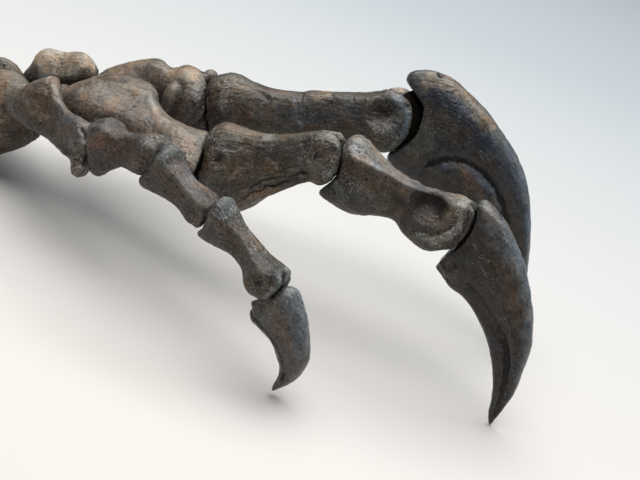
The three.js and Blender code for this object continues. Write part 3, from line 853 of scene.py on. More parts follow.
metacarpal_3.colour(
    11, (0.052, 0.039, 0.029), (0.091, 0.074, 0.058), (0.023, 0.017, 0.012),
    [
        (RUST, 0.55, patch((3.5, 16), (4, 7))),
        (CREAM, 0.5, line([(1, 19), (5, 14), (7, 10)], 1.6)),
        (CREAM, 0.55, line([(8, 16), (12, 12), (17, 9)], 1.8)),
        (UMBER, 0.5, patch((-3, -6), (8, 5))),
        (SLATE, 0.4, patch((28, 8), (14, 4))),
        ((0.070, 0.064, 0.048), 0.5, patch((46, 0), (8, 9))),
        # Painted shade with dirt in the knuckle crease
        (SHADE_AND_DIRT, 0.7, line(knuckle_crease, 2.2)),
    ],
    flecks=0.15,
    crust=[(0.3, patch((5, 14), (8, 6))), (0.4, patch((52, -9), (7, 8)))],
)
metacarpal_3.lay_down(palm_finish)

# Second palm bone
# The longest palm bone, broad over its wrist end and spool-shaped at its knuckle. Bone turned to
# stone, paler than the fingers. It lies between the other two, cut back where the third meets it.

metacarpal_2 = Bone(
    "metacarpal_2",
    palm_place((-148, 38, 87.5), 27),
    back=[
        (-8.5, 2), (-6, 7.5), (-1, 13), (5.5, 20), (12, 23.5), (20, 25.5), (34, 27.5), (39, 26.5),
        (43, 24), (46.5, 19.5), (52, 16.5), (58.5, 14.5), (67, 14), (76, 15), (83, 17),
    ],
    palm=[(-6, -13), (6, -16), (18, -15), (35, -12.5), (56, -11), (73, -12), (87, -15.5)],
    base=[(-11, -5)],
    head=[(89, -8), (88, 2), (85.5, 11)],
    thickness=[11, 17, 17, 15, 13, 12.5, 14, 17, 18, 13],
    swing=38,
    lean=0.6,
)
metacarpal_2.cut_back("metacarpal_3")
metacarpal_2.work(20, [
    ridge([(40, 22), (46, 16), (55, 11), (68, 10)], 2.5, 0.9),
    dent((30, 12), (14, 6), 1.0),
    dent((35, -5), (16, 4), 1.3),
    dent((58, 3), (9, 5), 0.9),
    ridge([(0, 8), (8, 14), (20, 18), (34, 20)], 2.5, 0.8),
    dent((78, 0), (5, 6), 1.2),
])
metacarpal_2.colour(
    21, (0.092, 0.073, 0.057), (0.120, 0.099, 0.078), (0.026, 0.020, 0.014),
    [
        ((0.084, 0.063, 0.046), 0.6, patch((12, 18), (12, 5))),
        (RUST, 0.45, patch((6.3, 2), (3.5, 4))),
        # The next three: painted shade on the palm side, along the lower edge and under the base
        (UMBER, 0.75, patch((28, -9), (26, 6))),
        (UMBER, 0.65, line([(5, -8), (20, -6), (36, -1), (50, 2)], 7)),
        (UMBER, 0.7, patch((-2, -4), (6, 7))),
        (UMBER, 0.55, patch((12, 17), (9, 3))),
        # Painted highlight: a pale band of sheen along the shaft's upper side
        ((0.168, 0.138, 0.110), 0.7, patch((62, 8), (20, 3.6), 3)),
        ((0.180, 0.150, 0.120), 0.55, patch((5, 3), (4, 3.5))),
        ((0.140, 0.119, 0.100), 0.45, patch((33, 14), (9, 5))),
        # Painted shade on the palm side near the head
        (UMBER, 0.35, patch((60, -8), (12, 4))),
        (CREAM, 0.35, patch((80, 1), (7, 7))),
        ((0.128, 0.110, 0.096), 0.5, patch((70, 0), (14, 6))),
        (CREAM, 0.35, line([(44, 18), (50, 13), (58, 10)], 1.5)),
    ],
    flecks=0.02,
    crust=[(0.18, patch((82, 2), (8, 12)))],
)
metacarpal_2.lay_down(palm_finish)

# First palm bone
# The short stout palm bone of the thumb, behind the second. Bone turned to stone. Its knuckle end
# swells into two rounded knobs with a cleft between them and a smaller knob on top, all one bone.

# Facets of a knob, around and down
KNOB_FACETS = (32, 20)


def egg(radii, centre, facets):
    """Points and faces of a closed egg shape."""
    around, down = facets
    tilt = np.linspace(0, math.pi, down + 1)[1:-1, None]
    turn = np.arange(around) / around * 2 * math.pi
    wide = np.sin(tilt)
    rows = np.stack([wide * np.cos(turn), wide * np.sin(turn), np.cos(tilt) + turn * 0], -1)
    points = np.concatenate([[(0, 0, 1)], rows.reshape(-1, 3), [(0, 0, -1)]]) * radii + centre
    return points, capped_rings(around, len(points) - 1, turned=True)


def add_knobs(bone, *knobs):
    """Joins rounded knobs to a bone."""
    for radii, centre in knobs:
        points, faces = egg(radii, centre, KNOB_FACETS)
        bone.mesh = combined(bone.mesh, mesh_of(bone.in_hand(points), faces), "UNION")
    bone.mesh = evened(bone.mesh, ROUGH_EDGE)


metacarpal_1 = Bone(
    "metacarpal_1",
    palm_place((-134, 75, 105.5), 16),
    back=[
        (-4.5, 4.3), (3.4, 8.8), (13.6, 14.4), (21.8, 17.6), (29, 18.5), (36.2, 15.5),
        (40.6, 16.3), (45.7, 19.5), (52, 19), (59, 17),
    ],
    palm=[(2, -20), (14, -17), (26, -14), (36, -15), (44, -19), (53, -20.5), (61, -18.5)],
    base=[(-9, -9)],
    head=[(66.5, -11), (66.5, -2), (63.5, 8)],
    thickness=[9, 13, 11, 10, 11, 14, 15, 11],
    swing=20,
    lean=0.3,
)
add_knobs(
    metacarpal_1,
    ((7, 9, 11.5), (44.5, -25, -5.5)),
    ((9, 9, 14.5), (58.5, -26, -6)),
    ((8, 8, 10), (65, -22, -13)),
    ((5.2, 6, 5.8), (62.6, -14, 14.6)),
)
metacarpal_1.cut_back("metacarpal_2")
metacarpal_1.work(30, [
    ridge([(50, 3), (49.5, -3), (51, -12)], 2.4, -0.7),
    ridge([(39, 4.2), (47, 5), (54, 6.4), (62, 6.9)], 0.8, -0.3),
    dent((24, 4), (9, 6), 1.2),
    ridge([(10, 9), (22, 12), (33, 12)], 2.2, 0.8),
    dent((46, 12), (6, 4), -0.7),
])
metacarpal_1.colour(
    31, (0.056, 0.046, 0.035), (0.128, 0.102, 0.077), (0.019, 0.013, 0.009),
    [
        # Painted shade over the shaft
        (UMBER, 0.7, patch((27, 4), (13, 5))),
        ((0.215, 0.172, 0.126), 0.75, patch((49, 13), (12, 4.5))),
        (UMBER, 0.45, patch((58, -4), (7, 9))),
        # Painted shade in the cleft between the knobs, then painted highlights on the tops of both
        # knobs
        (UMBER, 0.6, line([(50, 4), (49.5, -3), (51, -12)], 2.4)),
        ((0.110, 0.090, 0.070), 0.4, patch((42, 0), (7, 8))),
        ((0.125, 0.102, 0.078), 0.4, patch((57, 3), (7, 6))),
        # Painted shadow between this bone's neck and the second palm bone
        (SHADE_AND_DIRT, 0.85, patch((36, -4), (4, 9))),
        ((0.060, 0.056, 0.042), 0.6, patch((64, 12), (5, 6))),
        # Painted shade under the knobs
        (UMBER, 0.6, patch((52, -15), (14, 5))),
    ],
    flecks=0.15,
)
metacarpal_1.lay_down(palm_finish)

# Small wrist bone
# A pebble-like wrist bone wedged between the palm bones and the large wrist bone. Bone turned to
# stone, one solid piece.

wrist_finish = bone_finish(
    "wrist_bone_stone", SHADE_AND_DIRT, bloom=(0.16, 0.145, 0.122), fleck=(0.33, 0.30, 0.25),
    gloss=0.5, streak=0.35, grain_depth=0.8,
)

small_wrist_bone = Bone(
    "small_wrist_bone",
    palm_place((-161.5, 46.5, 92), 0),
    back=[(-3, 1), (1, 5), (5, 4.5), (8, 0)],
    palm=[(-2, -8), (2, -12), (7, -10)],
    base=[(-4, -4)],
    head=[(9, -5)],
    thickness=[5, 9.5, 9.5, 5],
)
small_wrist_bone.cut_back("metacarpal_2", "metacarpal_3")
small_wrist_bone.work(40)
small_wrist_bone.colour(
    41, (0.088, 0.077, 0.064), (0.078, 0.069, 0.058), (0.035, 0.027, 0.020), flecks=0.5,
)
small_wrist_bone.lay_down(wrist_finish)

# Large wrist bone
# The half-moon wrist bone over the tops of the first two palm bones, with two low swellings on
# its back. Bone turned to stone, beige-grey, streaked with cream and ochre mineral.

OCHRE = (0.147, 0.096, 0.053)

wrist_bone = Bone(
    "wrist_bone",
    palm_place((-187.5, 62, 108), 0),
    back=[
        (0, -3), (5.5, 3), (9, 9.5), (12.5, 12.5), (17, 13.5), (22, 12), (27, 11), (33, 11.5),
        (38.5, 10.5), (43, 7), (46, 2),
    ],
    palm=[(3, -11), (13, -13), (23, -14), (33, -14), (43, -9)],
    base=[(0, -7)],
    head=[(46, -4)],
    thickness=[8, 13, 15, 15, 14, 15, 14, 10],
)
wrist_bone.cut_back("metacarpal_1", "metacarpal_2", "metacarpal_3", "small_wrist_bone")
wrist_bone.work(50, [
    dent((15, 8), (6, 4), -0.8),
    dent((25, 4), (3.5, 7), 1.3),
    dent((35, 6), (5, 4), -0.9),
    dent((9, -4), (5, 6), 1.0),
])
wrist_bone.colour(
    51, (0.21, 0.185, 0.152), (0.255, 0.225, 0.185), (0.09, 0.074, 0.058),
    [
        (OCHRE, 0.6, patch((35, 6), (5, 5))),
        (CREAM, 0.6, line([(17.5, 8), (18, 2), (17, -4)], 1.8)),
        (CREAM, 0.55, line([(27, 4), (28.5, -2)], 1.6)),
        (CREAM, 0.5, line([(32, 2), (33, -4)], 1.6)),
        # Painted shade on the lower side
        (UMBER, 0.75, patch((7, -3), (6, 8))),
        (SLATE, 0.5, patch((20, 2), (5, 5))),
        # Painted shade on the lower side
        (UMBER, 0.65, patch((42, -5), (5, 6))),
    ],
    flecks=0.3,
)
wrist_bone.lay_down(wrist_finish)

# Ends of the forearm
# The larger and the smaller forearm bone, where they meet the wrist. Each is one shaft of bone
# turned to stone, finished with a flat cut across it a little way behind the wrist.

CUT_MARGIN = 0.3


def cut_end(bone, until):
    """Takes the wear back off the flat cut at a bone's start."""
    flat = soft_step(bone.here[:, 0], bone.here[:, 0].min() + CUT_MARGIN, until)
    points = places_in(bone.mesh)
    place_all(bone.mesh, blend(bone.smooth, points, flat))


ulna_end = Bone(
    "ulna_end",
    palm_place((-209, 50, 80), -2),
    back=[(-14, 29), (0, 28.5), (10, 26.5), (16, 25.5), (22, 23.5), (27, 19.5), (30, 14.5)],
    palm=[(-14, -33), (0, -30), (8, -27), (14, -25), (20.5, -23), (27, -20), (33, -16.5)],
    head=[(36, -6.5), (34, 6)],
    thickness=[17, 17, 18, 19, 18, 12],
)
ulna_end.cut_back("wrist_bone", "small_wrist_bone", "metacarpal_2", "metacarpal_3")
ulna_end.work(60, [
    dent((16, -1), (5, 7), 1.6),
    dent((22, 12), (6, 5), -1.0),
    ridge([(0, 14), (10, 13), (18, 16)], 2.4, 0.9),
    dent((24, -14), (7, 4), 1.0),
], rough=1.4)
cut_end(ulna_end, -12.6)
ulna_end.colour(
    61, (0.170, 0.133, 0.097), (0.113, 0.092, 0.070), (0.070, 0.051, 0.034),
    [
        (CREAM, 0.6, line([(18, 15), (21, 10), (22, 4)], 1.8)),
        (CREAM, 0.5, line([(28, 14), (30, 9)], 1.7)),
        (CREAM, 0.35, line([(25, 6), (27, 0)], 1.5)),
        # Painted shade on the lower side and in the hollow in the middle
        (UMBER, 0.7, patch((22, -13), (14, 7))),
        (UMBER, 0.6, patch((16, -1), (5, 6))),
    ],
    flecks=0.35,
)
ulna_end.lay_down(wrist_finish)

radius_end = Bone(
    "radius_end",
    palm_place((-216, 78, 110), 3),
    back=[(-8, 6), (0, 8), (8.5, 8.5), (12, 8.5), (16.5, 6.5), (20.5, 3.5), (23.5, -1)],
    palm=[(-8, -22), (5, -24), (15, -22), (23, -17)],
    head=[(29, -9)],
    thickness=[12, 12, 13.5, 14, 11],
)
radius_end.cut_back("ulna_end", "wrist_bone")
radius_end.work(70, rough=1.2)
cut_end(radius_end, -6.6)
radius_end.colour(
    71, (0.024, 0.021, 0.014), (0.038, 0.032, 0.024), (0.024, 0.018, 0.013),
    [(CREAM, 0.4, line([(10, 7), (17, 5), (22, 1)], 1.6))],
    flecks=0.3,
)
radius_end.lay_down(wrist_finish)

# First thumb bone
# The longest finger bone: a lipped base, a straight shaft and a spool-shaped head with a deep
# pit on each side, where the ligament sat. Dark bone turned to stone, held to its knuckle by putty.

OPEN_GAP = 2
# A finger is where its knuckle lies, how far it turns away from the thumb side, and how far it
# tips over sideways, both in degrees
THUMB = ((-71.5, 54, 86.5), 5, 14)


def finger_place(finger, forward, up, slope):
    """Frame of a finger bone: forward and up from the knuckle, and its slope in degrees."""
    knuckle, yaw, tilt = finger
    lean = Matrix.Rotation(math.radians(-yaw), 4, "Z") @ Matrix.Rotation(math.radians(tilt), 4, "X")
    start = Matrix.Translation(knuckle) @ lean @ Matrix.Translation((forward, 0, up))
    return start @ Matrix.Rotation(math.radians(slope), 4, "Y")


FINGER_BLOOM = (0.100, 0.098, 0.088)
FINGER_FLECK = (0.300, 0.305, 0.275)
finger_finish = bone_finish(
    "finger_bone_stone", SHADE_AND_DIRT, FINGER_BLOOM, FINGER_FLECK, gloss=0.40, streak=0.6,
)
MOSS = (0.072, 0.075, 0.061)
BLUE_RIM = (0.083, 0.110, 0.129)
first_crack = [(59.8, 16), (61, 10.4), (60.9, 7)]
second_crack = [(77.1, 15.5), (80.4, 11.6), (79.1, 8)]

phalanx_1_1 = Bone(
    "phalanx_1_1",
    finger_place(THUMB, 0, 0, 5.7),
    back=[
        (-1, 10), (4, 16.3), (11, 19.2), (19, 19.4), (28, 16.2), (38, 12.9), (54, 12), (61, 12.2),
        (64.5, 13.6), (76, 13.9), (98, 15.2), (112, 17.6), (120, 17.5),
    ],
    palm=[
        (3.5, -22.5), (12, -21), (23, -19), (45, -17), (72, -16), (90, -17.5), (104, -21.5),
        (111, -22),
    ],
    base=[(0.8, -13), (-0.5, -2), (-1.5, 4.5)],
    head=[(118.5, -19), (125, -12.5), (128.8, -4.5), (129.6, 5), (127.6, 13)],
    thickness=[12, 17, 15, 12, 11, 11.5, 13.5, 15.5, 11],
    square=2.5,
    flare=-0.12,
    groove=3,
    pits=[((110.5, 4.5), 7.5, 3.5)],
)
add_knobs(phalanx_1_1, ((8.5, 5, 6.5), (120.5, 9, 12.8)))
phalanx_1_1.cut_back("metacarpal_1", gap=OPEN_GAP)
phalanx_1_1.cut_back("metacarpal_2")
phalanx_1_1.work(80, [
    ridge([(21, 16.5), (29.7, 14.2), (36.1, 10.7), (40, 8)], 1.3, -1.1),
    ridge([(31, 15.6), (36.5, 12.6), (42, 8.4)], 1.6, 0.8),
    dent((112, 4.5), (6, 5), 1.8),
    ring((111.5, 4), 11, 2.6, 0.9),
    ridge([(117, 15), (123, 12), (126, 6), (126.5, 0), (124, -8), (120, -14)], 2.0, 0.9),
    dent((112.8, 17.5), (3.2, 2.6), -2.0),
    dent((98, 0), (6, 9), 1.0),
    dent((62, -3), (24, 5), 0.8),
    ridge(first_crack, 0.6, -0.7),
    ridge(second_crack, 0.7, -0.6),
    ridge([(92.2, 15.4), (92.6, 11.1)], 0.6, -0.4),
])
phalanx_1_1.colour(
    81, (0.057, 0.047, 0.038), (0.043, 0.034, 0.025), (0.049, 0.041, 0.032),
    [
        ((0.140, 0.106, 0.075), 0.7, patch((16, 15), (15, 4.5))),
        (SLATE, 0.35, patch((60, -1), (34, 6))),
        ((0.170, 0.168, 0.158), 0.55, patch((13.2, 5), (4, 5))),
        (RUST, 0.55, patch((44, 11.5), (11, 3))),
        # Dark red-brown at the base's lower corner, partly painted shadow
        ((0.022, 0.012, 0.009), 0.8, patch((7, -7), (9, 9))),
        ((0.088, 0.050, 0.028), 0.5, patch((26.8, -4.7), (7, 3.5))),
        ((0.165, 0.173, 0.182), 0.55, line([(56.6, 7.5), (57.2, 2), (58.5, -4), (62, -9.5)], 1.8)),
        ((0.160, 0.107, 0.064), 0.65, patch((70, 12), (9, 3))),
        ((0.190, 0.150, 0.105), 0.6, patch((78, 13), (2.5, 2.5))),
        ((0.036, 0.036, 0.040), 0.6, patch((72, -1), (26, 6))),
        ((0.048, 0.047, 0.046), 0.6, patch((90, 4), (12, 8))),
        # Painted shade in the ligament pit
        (UMBER, 0.8, patch((111.5, 4.5), (8, 6))),
        ((0.078, 0.086, 0.084), 0.5, patch((119, -1), (10, 14))),
        (BLUE_RIM, 0.75, line([(117, 15), (122.5, 11.5), (126, 5), (126.5, -1), (124, -9)], 3.0)),
        ((0.270, 0.212, 0.155), 0.8, patch((120, 18.5), (8, 3.6))),
        (MOSS, 0.5, patch((118, -11), (10, 7))),
        # Painted shade with dirt in the two cracks
        (SHADE_AND_DIRT, 0.6, line(first_crack, 0.9)),
        (SHADE_AND_DIRT, 0.5, line(second_crack, 0.9)),
    ],
    flecks=0.15,
    crust=[(0.35, patch((13.2, 5), (6, 7))), (0.35, patch((114, -8), (12, 8)))],
)
phalanx_1_1.lay_down(finger_finish)

# Thumb claw
# The largest claw: a flat-sided hook with a deep heel where the tendon pulled, and a groove for
# the horny sheath curving down each side. Blue-black bone turned to stone, one solid piece.

claw_finish = bone_finish(
    "claw_bone_stone", (0.008, 0.006, 0.005), bloom=(0.060, 0.064, 0.068),
    fleck=(0.22, 0.235, 0.245), gloss=0.30, streak=0.6,
)
THUMB_CLAW_GAP = 1.8
# Tones of the claw's body, back and palm: the lighter back is partly painted light from above
CLAW_BODY = (0.038, 0.037, 0.036)
CLAW_BACK = (0.058, 0.059, 0.059)
CLAW_PALM = (0.041, 0.035, 0.029)
thumb_groove = [
    (34.5, 3), (34, 13), (37, 21), (42.5, 28), (51, 33.5), (61, 36.8), (74, 37), (88, 35),
    (103, 31), (124, 23.5), (146, 13.5), (162, 5),
]
groove_lip = [(38, 13), (39.5, 20.5), (45, 27), (53.5, 31.5), (65.5, 34.3), (77, 34.5)]

claw_1 = Bone(
    "claw_1",
    finger_place(THUMB, 121.5, -9, 67),
    back=[
        (-18.5, 12), (-21.7, 16), (-20.2, 24), (-16, 31), (-8, 39), (3.3, 44.5), (20.2, 50.7),
        (40, 55.2), (58, 57.2), (75.3, 55.1), (90.5, 50.4), (107.4, 43.2), (124, 34.5),
        (140, 24.5), (157, 12), (172, 1.5),
    ],
    palm=[
        (21.8, -18.6), (28, -18), (38, -13.8), (56, -5.5), (75, 2), (93, 6.5), (115, 8), (139, 6),
        (158, 2), (171, -1.5),
    ],
    base=[(18.6, -15), (18.6, -9), (17, -1.5), (13.5, 6), (8, 12), (0, 16), (-9, 14)],
    head=[(172.5, 0)],
    thickness=[11, 14, 14.5, 13, 11.5, 10, 8.5, 6.5, 4.5, 1.8],
    square=2.1,
    furrow=(
        [(34, 6), (35, 14), (41, 26), (52.5, 33), (64.5, 37), (77.5, 36.5), (103, 31.5), (140, 17)],
        3.5, 2.6,
    ),
)
claw_1.cut_back("phalanx_1_1", gap=THUMB_CLAW_GAP)
claw_1.work(90, [
    ridge(thumb_groove, 1.6, -0.8),
    ridge(groove_lip, 2.2, 0.5),
    dent((26, -4), (7, 8), -0.8),
    dent((12, 30), (16, 8), -0.7),
    dent((50, 14), (14, 9), 0.9),
    ridge([(-14, 30), (-4, 38), (8, 43), (24, 48)], 2.6, 0.7),
    dent((-13.2, 33.2), (1.9, 1.5), 3.6, 50),
], rough=0.35)
claw_1.colour(
    91, CLAW_BODY, CLAW_BACK, CLAW_PALM,
    [
        ((0.165, 0.130, 0.092), 0.75, patch((-12, 29), (7.5, 11))),
        ((0.150, 0.120, 0.088), 0.65, line([(-6, 37), (4, 41), (16, 45.5), (28, 49)], 4.5)),
        ((0.016, 0.019, 0.030), 0.85, line([(-6, 25), (6, 32), (21, 39), (38, 44)], 6)),
        ((0.034, 0.039, 0.052), 0.7, line([(48, 46.5), (62, 47.5), (80, 44.5)], 6)),
        ((0.082, 0.080, 0.062), 0.7, patch((17, 6), (10, 13))),
        ((0.024, 0.024, 0.026), 0.5, patch((36, 34), (18, 5), 20)),
        ((0.050, 0.038, 0.029), 0.55, line([(62, 42.5), (80, 41), (104, 35.5)], 5)),
        ((0.088, 0.058, 0.040), 0.7, patch((56, 25), (13, 6))),
        # Pale bluish lip of the groove: bluish stone with a painted highlight
        ((0.105, 0.118, 0.140), 0.65, line(groove_lip, 3.2)),
        # Painted bluish sheen along the back
        (
            (0.072, 0.082, 0.098), 0.6,
            line([(42, 54), (54, 56), (66, 56), (80, 53), (100, 45.5), (122, 34.5)], 3.6),
        ),
        # Painted shade with dirt in the groove
        (SHADE_AND_DIRT, 0.3, line(thumb_groove, 2.0)),
        # Painted shade in the small hole on the heel
        ((0.005, 0.004, 0.003), 1.0, patch((-13.2, 33.4), (2.6, 2), 50)),
    ],
    flecks=0.05,
    crust=[(0.2, patch((14, 18), (12, 8)))],
)
claw_1.lay_down(claw_finish)

# Second finger's bones
# Two spool-headed finger bones in line, the first with a rough keel under its base where the
# tendon pulled. Dark bone turned to stone, with putty in the joints.

TIGHT_GAP = 1.4
FINGER_2 = ((-69, 0, 47), 14, 15)
LILAC = (0.128, 0.112, 0.109)
PALE_RIM = (0.148, 0.160, 0.140)
SCRATCH = (0.200, 0.195, 0.180)
WARM_STAIN = (0.105, 0.078, 0.052)
keel_crack = [(31.2, -15.1), (38.6, -11.4), (43.7, -10.1), (54.7, -8.9), (62.8, -6.7)]
keel_split = [(39.8, -13.9), (42.2, -14.6), (46.3, -14), (50.4, -12.2), (54.4, -11.9)]
head_fold = [(66.5, 13), (63.7, 4.4), (64.1, -2.4), (66, -9)]
head_rim = [(75.4, 19.5), (81.5, 16.5), (83.8, 11.8), (84.3, 4.3), (81.9, -3.7), (75.1, -10.3)]

phalanx_2_1 = Bone(
    "phalanx_2_1",
    finger_place(FINGER_2, 0, 0, -1),
    back=[
        (5, 15), (10, 20), (17, 21.8), (26, 19), (36, 15.5), (48, 13.5), (62, 14.5), (73, 15.5),
        (80, 13.5),
    ],
    palm=[
        (5, -26), (10.5, -30), (18, -31.8), (27.3, -29.1), (37.8, -23), (46.5, -17.9), (54, -13.1),
        (60, -10.4), (65, -12.8),
    ],
    base=[(0.5, -18), (0.5, -7), (2, 3), (3, 10)],
    head=[(71, -15.7), (79, -12.6), (84.2, -5), (85.8, 3), (84, 9)],
    thickness=[12, 17, 15, 12, 10.5, 10.5, 12.5, 14.5, 10.5],
    square=2.4,
    flare=-0.2,
    groove=3,
    pits=[((70, 2), 7, 1.5)],
)
phalanx_2_1.cut_back("metacarpal_2", gap=OPEN_GAP)
phalanx_2_1.work(100, [
    dent((14, 3), (2.6, 1.7), 1.3, 15),
    ring((14, 3), 5.5, 1.7, 0.6),
    ridge([(17, -23), (30, -17), (46, -11.5), (60, -6.5)], 2.0, 1.0),
    ridge([(18, -27), (30, -22), (42, -16.5)], 1.4, 0.8),
    ridge([(24, -21), (36, -16.5), (46, -13)], 1.0, -0.25),
    ridge(keel_crack, 0.8, -0.5),
    ridge(keel_split, 0.8, -0.6),
    ridge([(14, -29), (24, -27), (34, -21.5)], 1.1, 0.6),
    dent((36, 1), (18, 7), 1.0),
    ridge(head_fold, 2.4, -0.45),
    ridge([(80.5, 12.5), (84, 8), (84.5, 2), (81, -5), (76, -11)], 1.9, 0.9),
    dent((73, 2), (4.5, 5), 0.9),
    dent((82, 12), (3, 3), -1.0),
    dent((63, -7), (2, 1.6), 1.2),
])
phalanx_2_1.colour(
    101, (0.060, 0.048, 0.036), (0.051, 0.041, 0.030), (0.091, 0.068, 0.048),
    [
        (OCHRE, 0.35, patch((24, 18), (16, 4))),
        ((0.047, 0.040, 0.034), 0.6, patch((42, 2), (22, 7))),
        # Painted shade in the small hole at the base
        ((0.014, 0.010, 0.008), 0.75, patch((14, 3), (2.6, 1.6), 15)),
        ((0.210, 0.200, 0.175), 0.5, patch((42.8, 12.5), (5, 2.2))),
        ((0.165, 0.122, 0.083), 0.85, patch((34, -20.5), (20, 4.6), 22)),
        ((0.052, 0.033, 0.025), 0.7, patch((74, 6), (7, 6))),
        (MOSS, 0.6, patch((71, -6), (9, 7))),
        (PALE_RIM, 0.7, line([(79.5, 13), (84.5, 9), (85.5, 3), (82, -5), (77, -11)], 3)),
        # Painted shade with dirt in the keel's cracks and in the small pit below the head
        (SHADE_AND_DIRT, 0.4, line(keel_crack, 1.2)),
        (SHADE_AND_DIRT, 0.6, line(keel_split, 1.3)),
        (SHADE_AND_DIRT, 0.7, patch((63, -7), (3, 2))),
        (UMBER, 0.25, line(head_fold, 2)),
        (SCRATCH, 0.5, line([(40.6, 3.2), (44, -0.4), (47.5, -4)], 0.8)),
        (SCRATCH, 0.4, line([(20, 7.5), (27, 7.2), (33, 7.4)], 0.7)),
        (SCRATCH, 0.4, line([(20, -9), (24, -5), (29, -3)], 0.8)),
    ],
    flecks=0.2,
    crust=[
        (0.28, ring((14, 3), 5.5, 2.5, 1)),
        (0.35, patch((9, 17), (6, 5))),
        (0.55, line([(79.5, 14), (85, 9), (86, 3), (82, -5), (77, -11)], 6)),
        (0.3, patch((69, 5), (8, 10))),
    ],
)
phalanx_2_1.lay_down(finger_finish)

phalanx_2_2 = Bone(
    "phalanx_2_2",
    finger_place(FINGER_2, 76, 0.5, 30),
    back=[
        (6, 17), (9, 20.5), (13, 21), (18, 19.5), (24, 17.5), (31, 15), (40, 12), (50, 11.5),
        (58, 13), (66, 15.5), (73, 17.5), (83, 18.5),
    ],
    palm=[
        (5, -21), (9, -22.5), (18, -22.8), (28, -22.8), (39, -17), (50, -13.8), (59, -18),
        (71, -20.8), (77, -18.8), (82, -15),
    ],
    base=[(4.5, -19), (8, -11.5), (9, -3.5), (7.5, 3.5), (5.5, 10.5)],
    head=[(88, -9), (90, 0), (90, 8), (88, 15)],
    thickness=[10, 15, 13, 9.5, 8.5, 9, 11.5, 13, 9.5],
    square=2.7,
    shoulders=[0.5, 0.56, 0.68, 0.84, 0.92, 0.85, 0.7, 0.7],
    groove=3,
    pits=[((64.4, 8), 9.2, 7)],
)
phalanx_2_2.cut_back("phalanx_2_1", gap=TIGHT_GAP)
phalanx_2_2.work(110, [
    ridge([(9.3, 14), (16.4, 11.1), (23, 10.8), (34.9, 10.2), (47.5, 10.7), (55, 12)], 1.6, 0.8),
    dent((64.4, 8), (9.6, 7.4), 2.6, 33),
    ring((64.4, 7.5), 13, 2.2, 0.8),
    ridge(
        [(75.4, 18), (81, 15.5), (83.3, 11.8), (84.1, 4.3), (81.9, -3.7), (75.1, -10.3)],
        1.9, 1.0,
    ),
    dent((47, -1), (8, 7), 1.4),
    dent((24, 2), (14, 5), 1.0),
    ridge([(12, -8), (22, -15), (32, -17)], 2.4, 0.9),
    dent((76, 6), (3, 4), -0.7),
    ridge([(8, 17), (12, 18.5), (18, 17.5)], 1.2, 0.7),
])
phalanx_2_2.colour(
    111, (0.052, 0.044, 0.035), (0.114, 0.098, 0.081), (0.062, 0.054, 0.042),
    [
        ((0.215, 0.220, 0.228), 0.6, patch((13, 16), (6, 5))),
        ((0.185, 0.142, 0.102), 0.6, patch((27, 17), (10, 4))),
        ((0.220, 0.226, 0.235), 0.5, patch((27, 12), (4, 1.8))),
        (UMBER, 0.6, patch((16, 1), (9, 8))),
        (UMBER, 0.5, patch((48, 0), (7, 8))),
        (LILAC, 0.6, patch((52, 13), (14, 3))),
        # Painted shade in the deep ligament pit
        ((0.012, 0.008, 0.006), 0.98, patch((64, 4.8), (15, 13), 33)),
        ((0.018, 0.013, 0.010), 0.8, patch((66.5, 1), (6.5, 4.5), 33)),
        ((0.026, 0.030, 0.038), 0.4, patch((66, 5), (5, 3.5))),
        ((0.115, 0.080, 0.045), 0.65, patch((77, 9), (3.5, 8))),
        ((0.100, 0.073, 0.046), 0.5, patch((73, -1), (9, 3.5))),
        (WARM_STAIN, 0.6, patch((44, -9), (9, 2.6))),
        (WARM_STAIN, 0.5, patch((44.8, 6), (4, 3.5))),
        ((0.066, 0.067, 0.052), 0.6, patch((14, -12), (9, 6))),
        ((0.110, 0.115, 0.120), 0.35, patch((28.8, -5), (7, 4))),
        ((0.215, 0.220, 0.195), 0.45, line(head_rim, 2.6)),
        (UMBER, 0.85, line([(85.8, 15.5), (88.2, 8), (88.1, -1.3), (85.5, -7)], 3.0)),
        ((0.140, 0.140, 0.125), 0.4, patch((72, -12), (10, 3.5))),
    ],
    flecks=0.2,
    crust=[
        (0.3, patch((17, -5), (10, 9))),
        (0.42, patch((72, -11.5), (13, 5))),
        (0.6, line(head_rim, 4)),
        (0.35, patch((14, 14), (7, 5))),
    ],
)
phalanx_2_2.lay_down(finger_finish)

# Second claw
# A slimmer hook than the thumb's, with a rough heel and a sheath groove low on each side. The
# whole hand stands on its tip and the thumb claw's. Blue-black bone turned to stone.

second_groove = [
    (36, 5), (46, 11), (56, 15.5), (68, 18.5), (78, 19), (88, 17.5), (98, 14), (109, 9.5),
    (118, 4.5),
]
heel_crack = [(-8.2, 24.5), (-4, 27.6), (2, 30.5)]

claw_2 = Bone(
    "claw_2",
    finger_place(FINGER_2, 145, -38, 81.5),
    back=[
        (-9.5, 18), (-10, 22), (-6.5, 26), (-1, 29), (7, 32.5), (16, 35), (24, 36.6), (34, 37.8),
        (52, 38), (63, 37), (74.2, 34.6), (84.6, 31), (100.7, 21.9), (111.4, 14.5), (123, 3),
    ],
    palm=[
        (25, -13.8), (31, -10.6), (38.6, -7.3), (44.3, -1.4), (54, 3.3), (70, 7.5), (89, 8.1),
        (106, 4.8), (117, 0.5), (124, -0.5),
    ],
    base=[(21, -9), (17, -4.5), (14.5, 1), (10.5, 5.5), (4, 11), (-3, 15)],
    head=[(124.7, 1)],
    thickness=[8, 10.5, 11, 10, 9, 8, 7, 5.5, 3.8, 1.5],
    square=2.1,
    furrow=([(39, 4.5), (56, 11), (74, 19), (93, 17), (118, 8)], 3, 1.6),
)
claw_2.cut_back("phalanx_2_2", gap=OPEN_GAP)
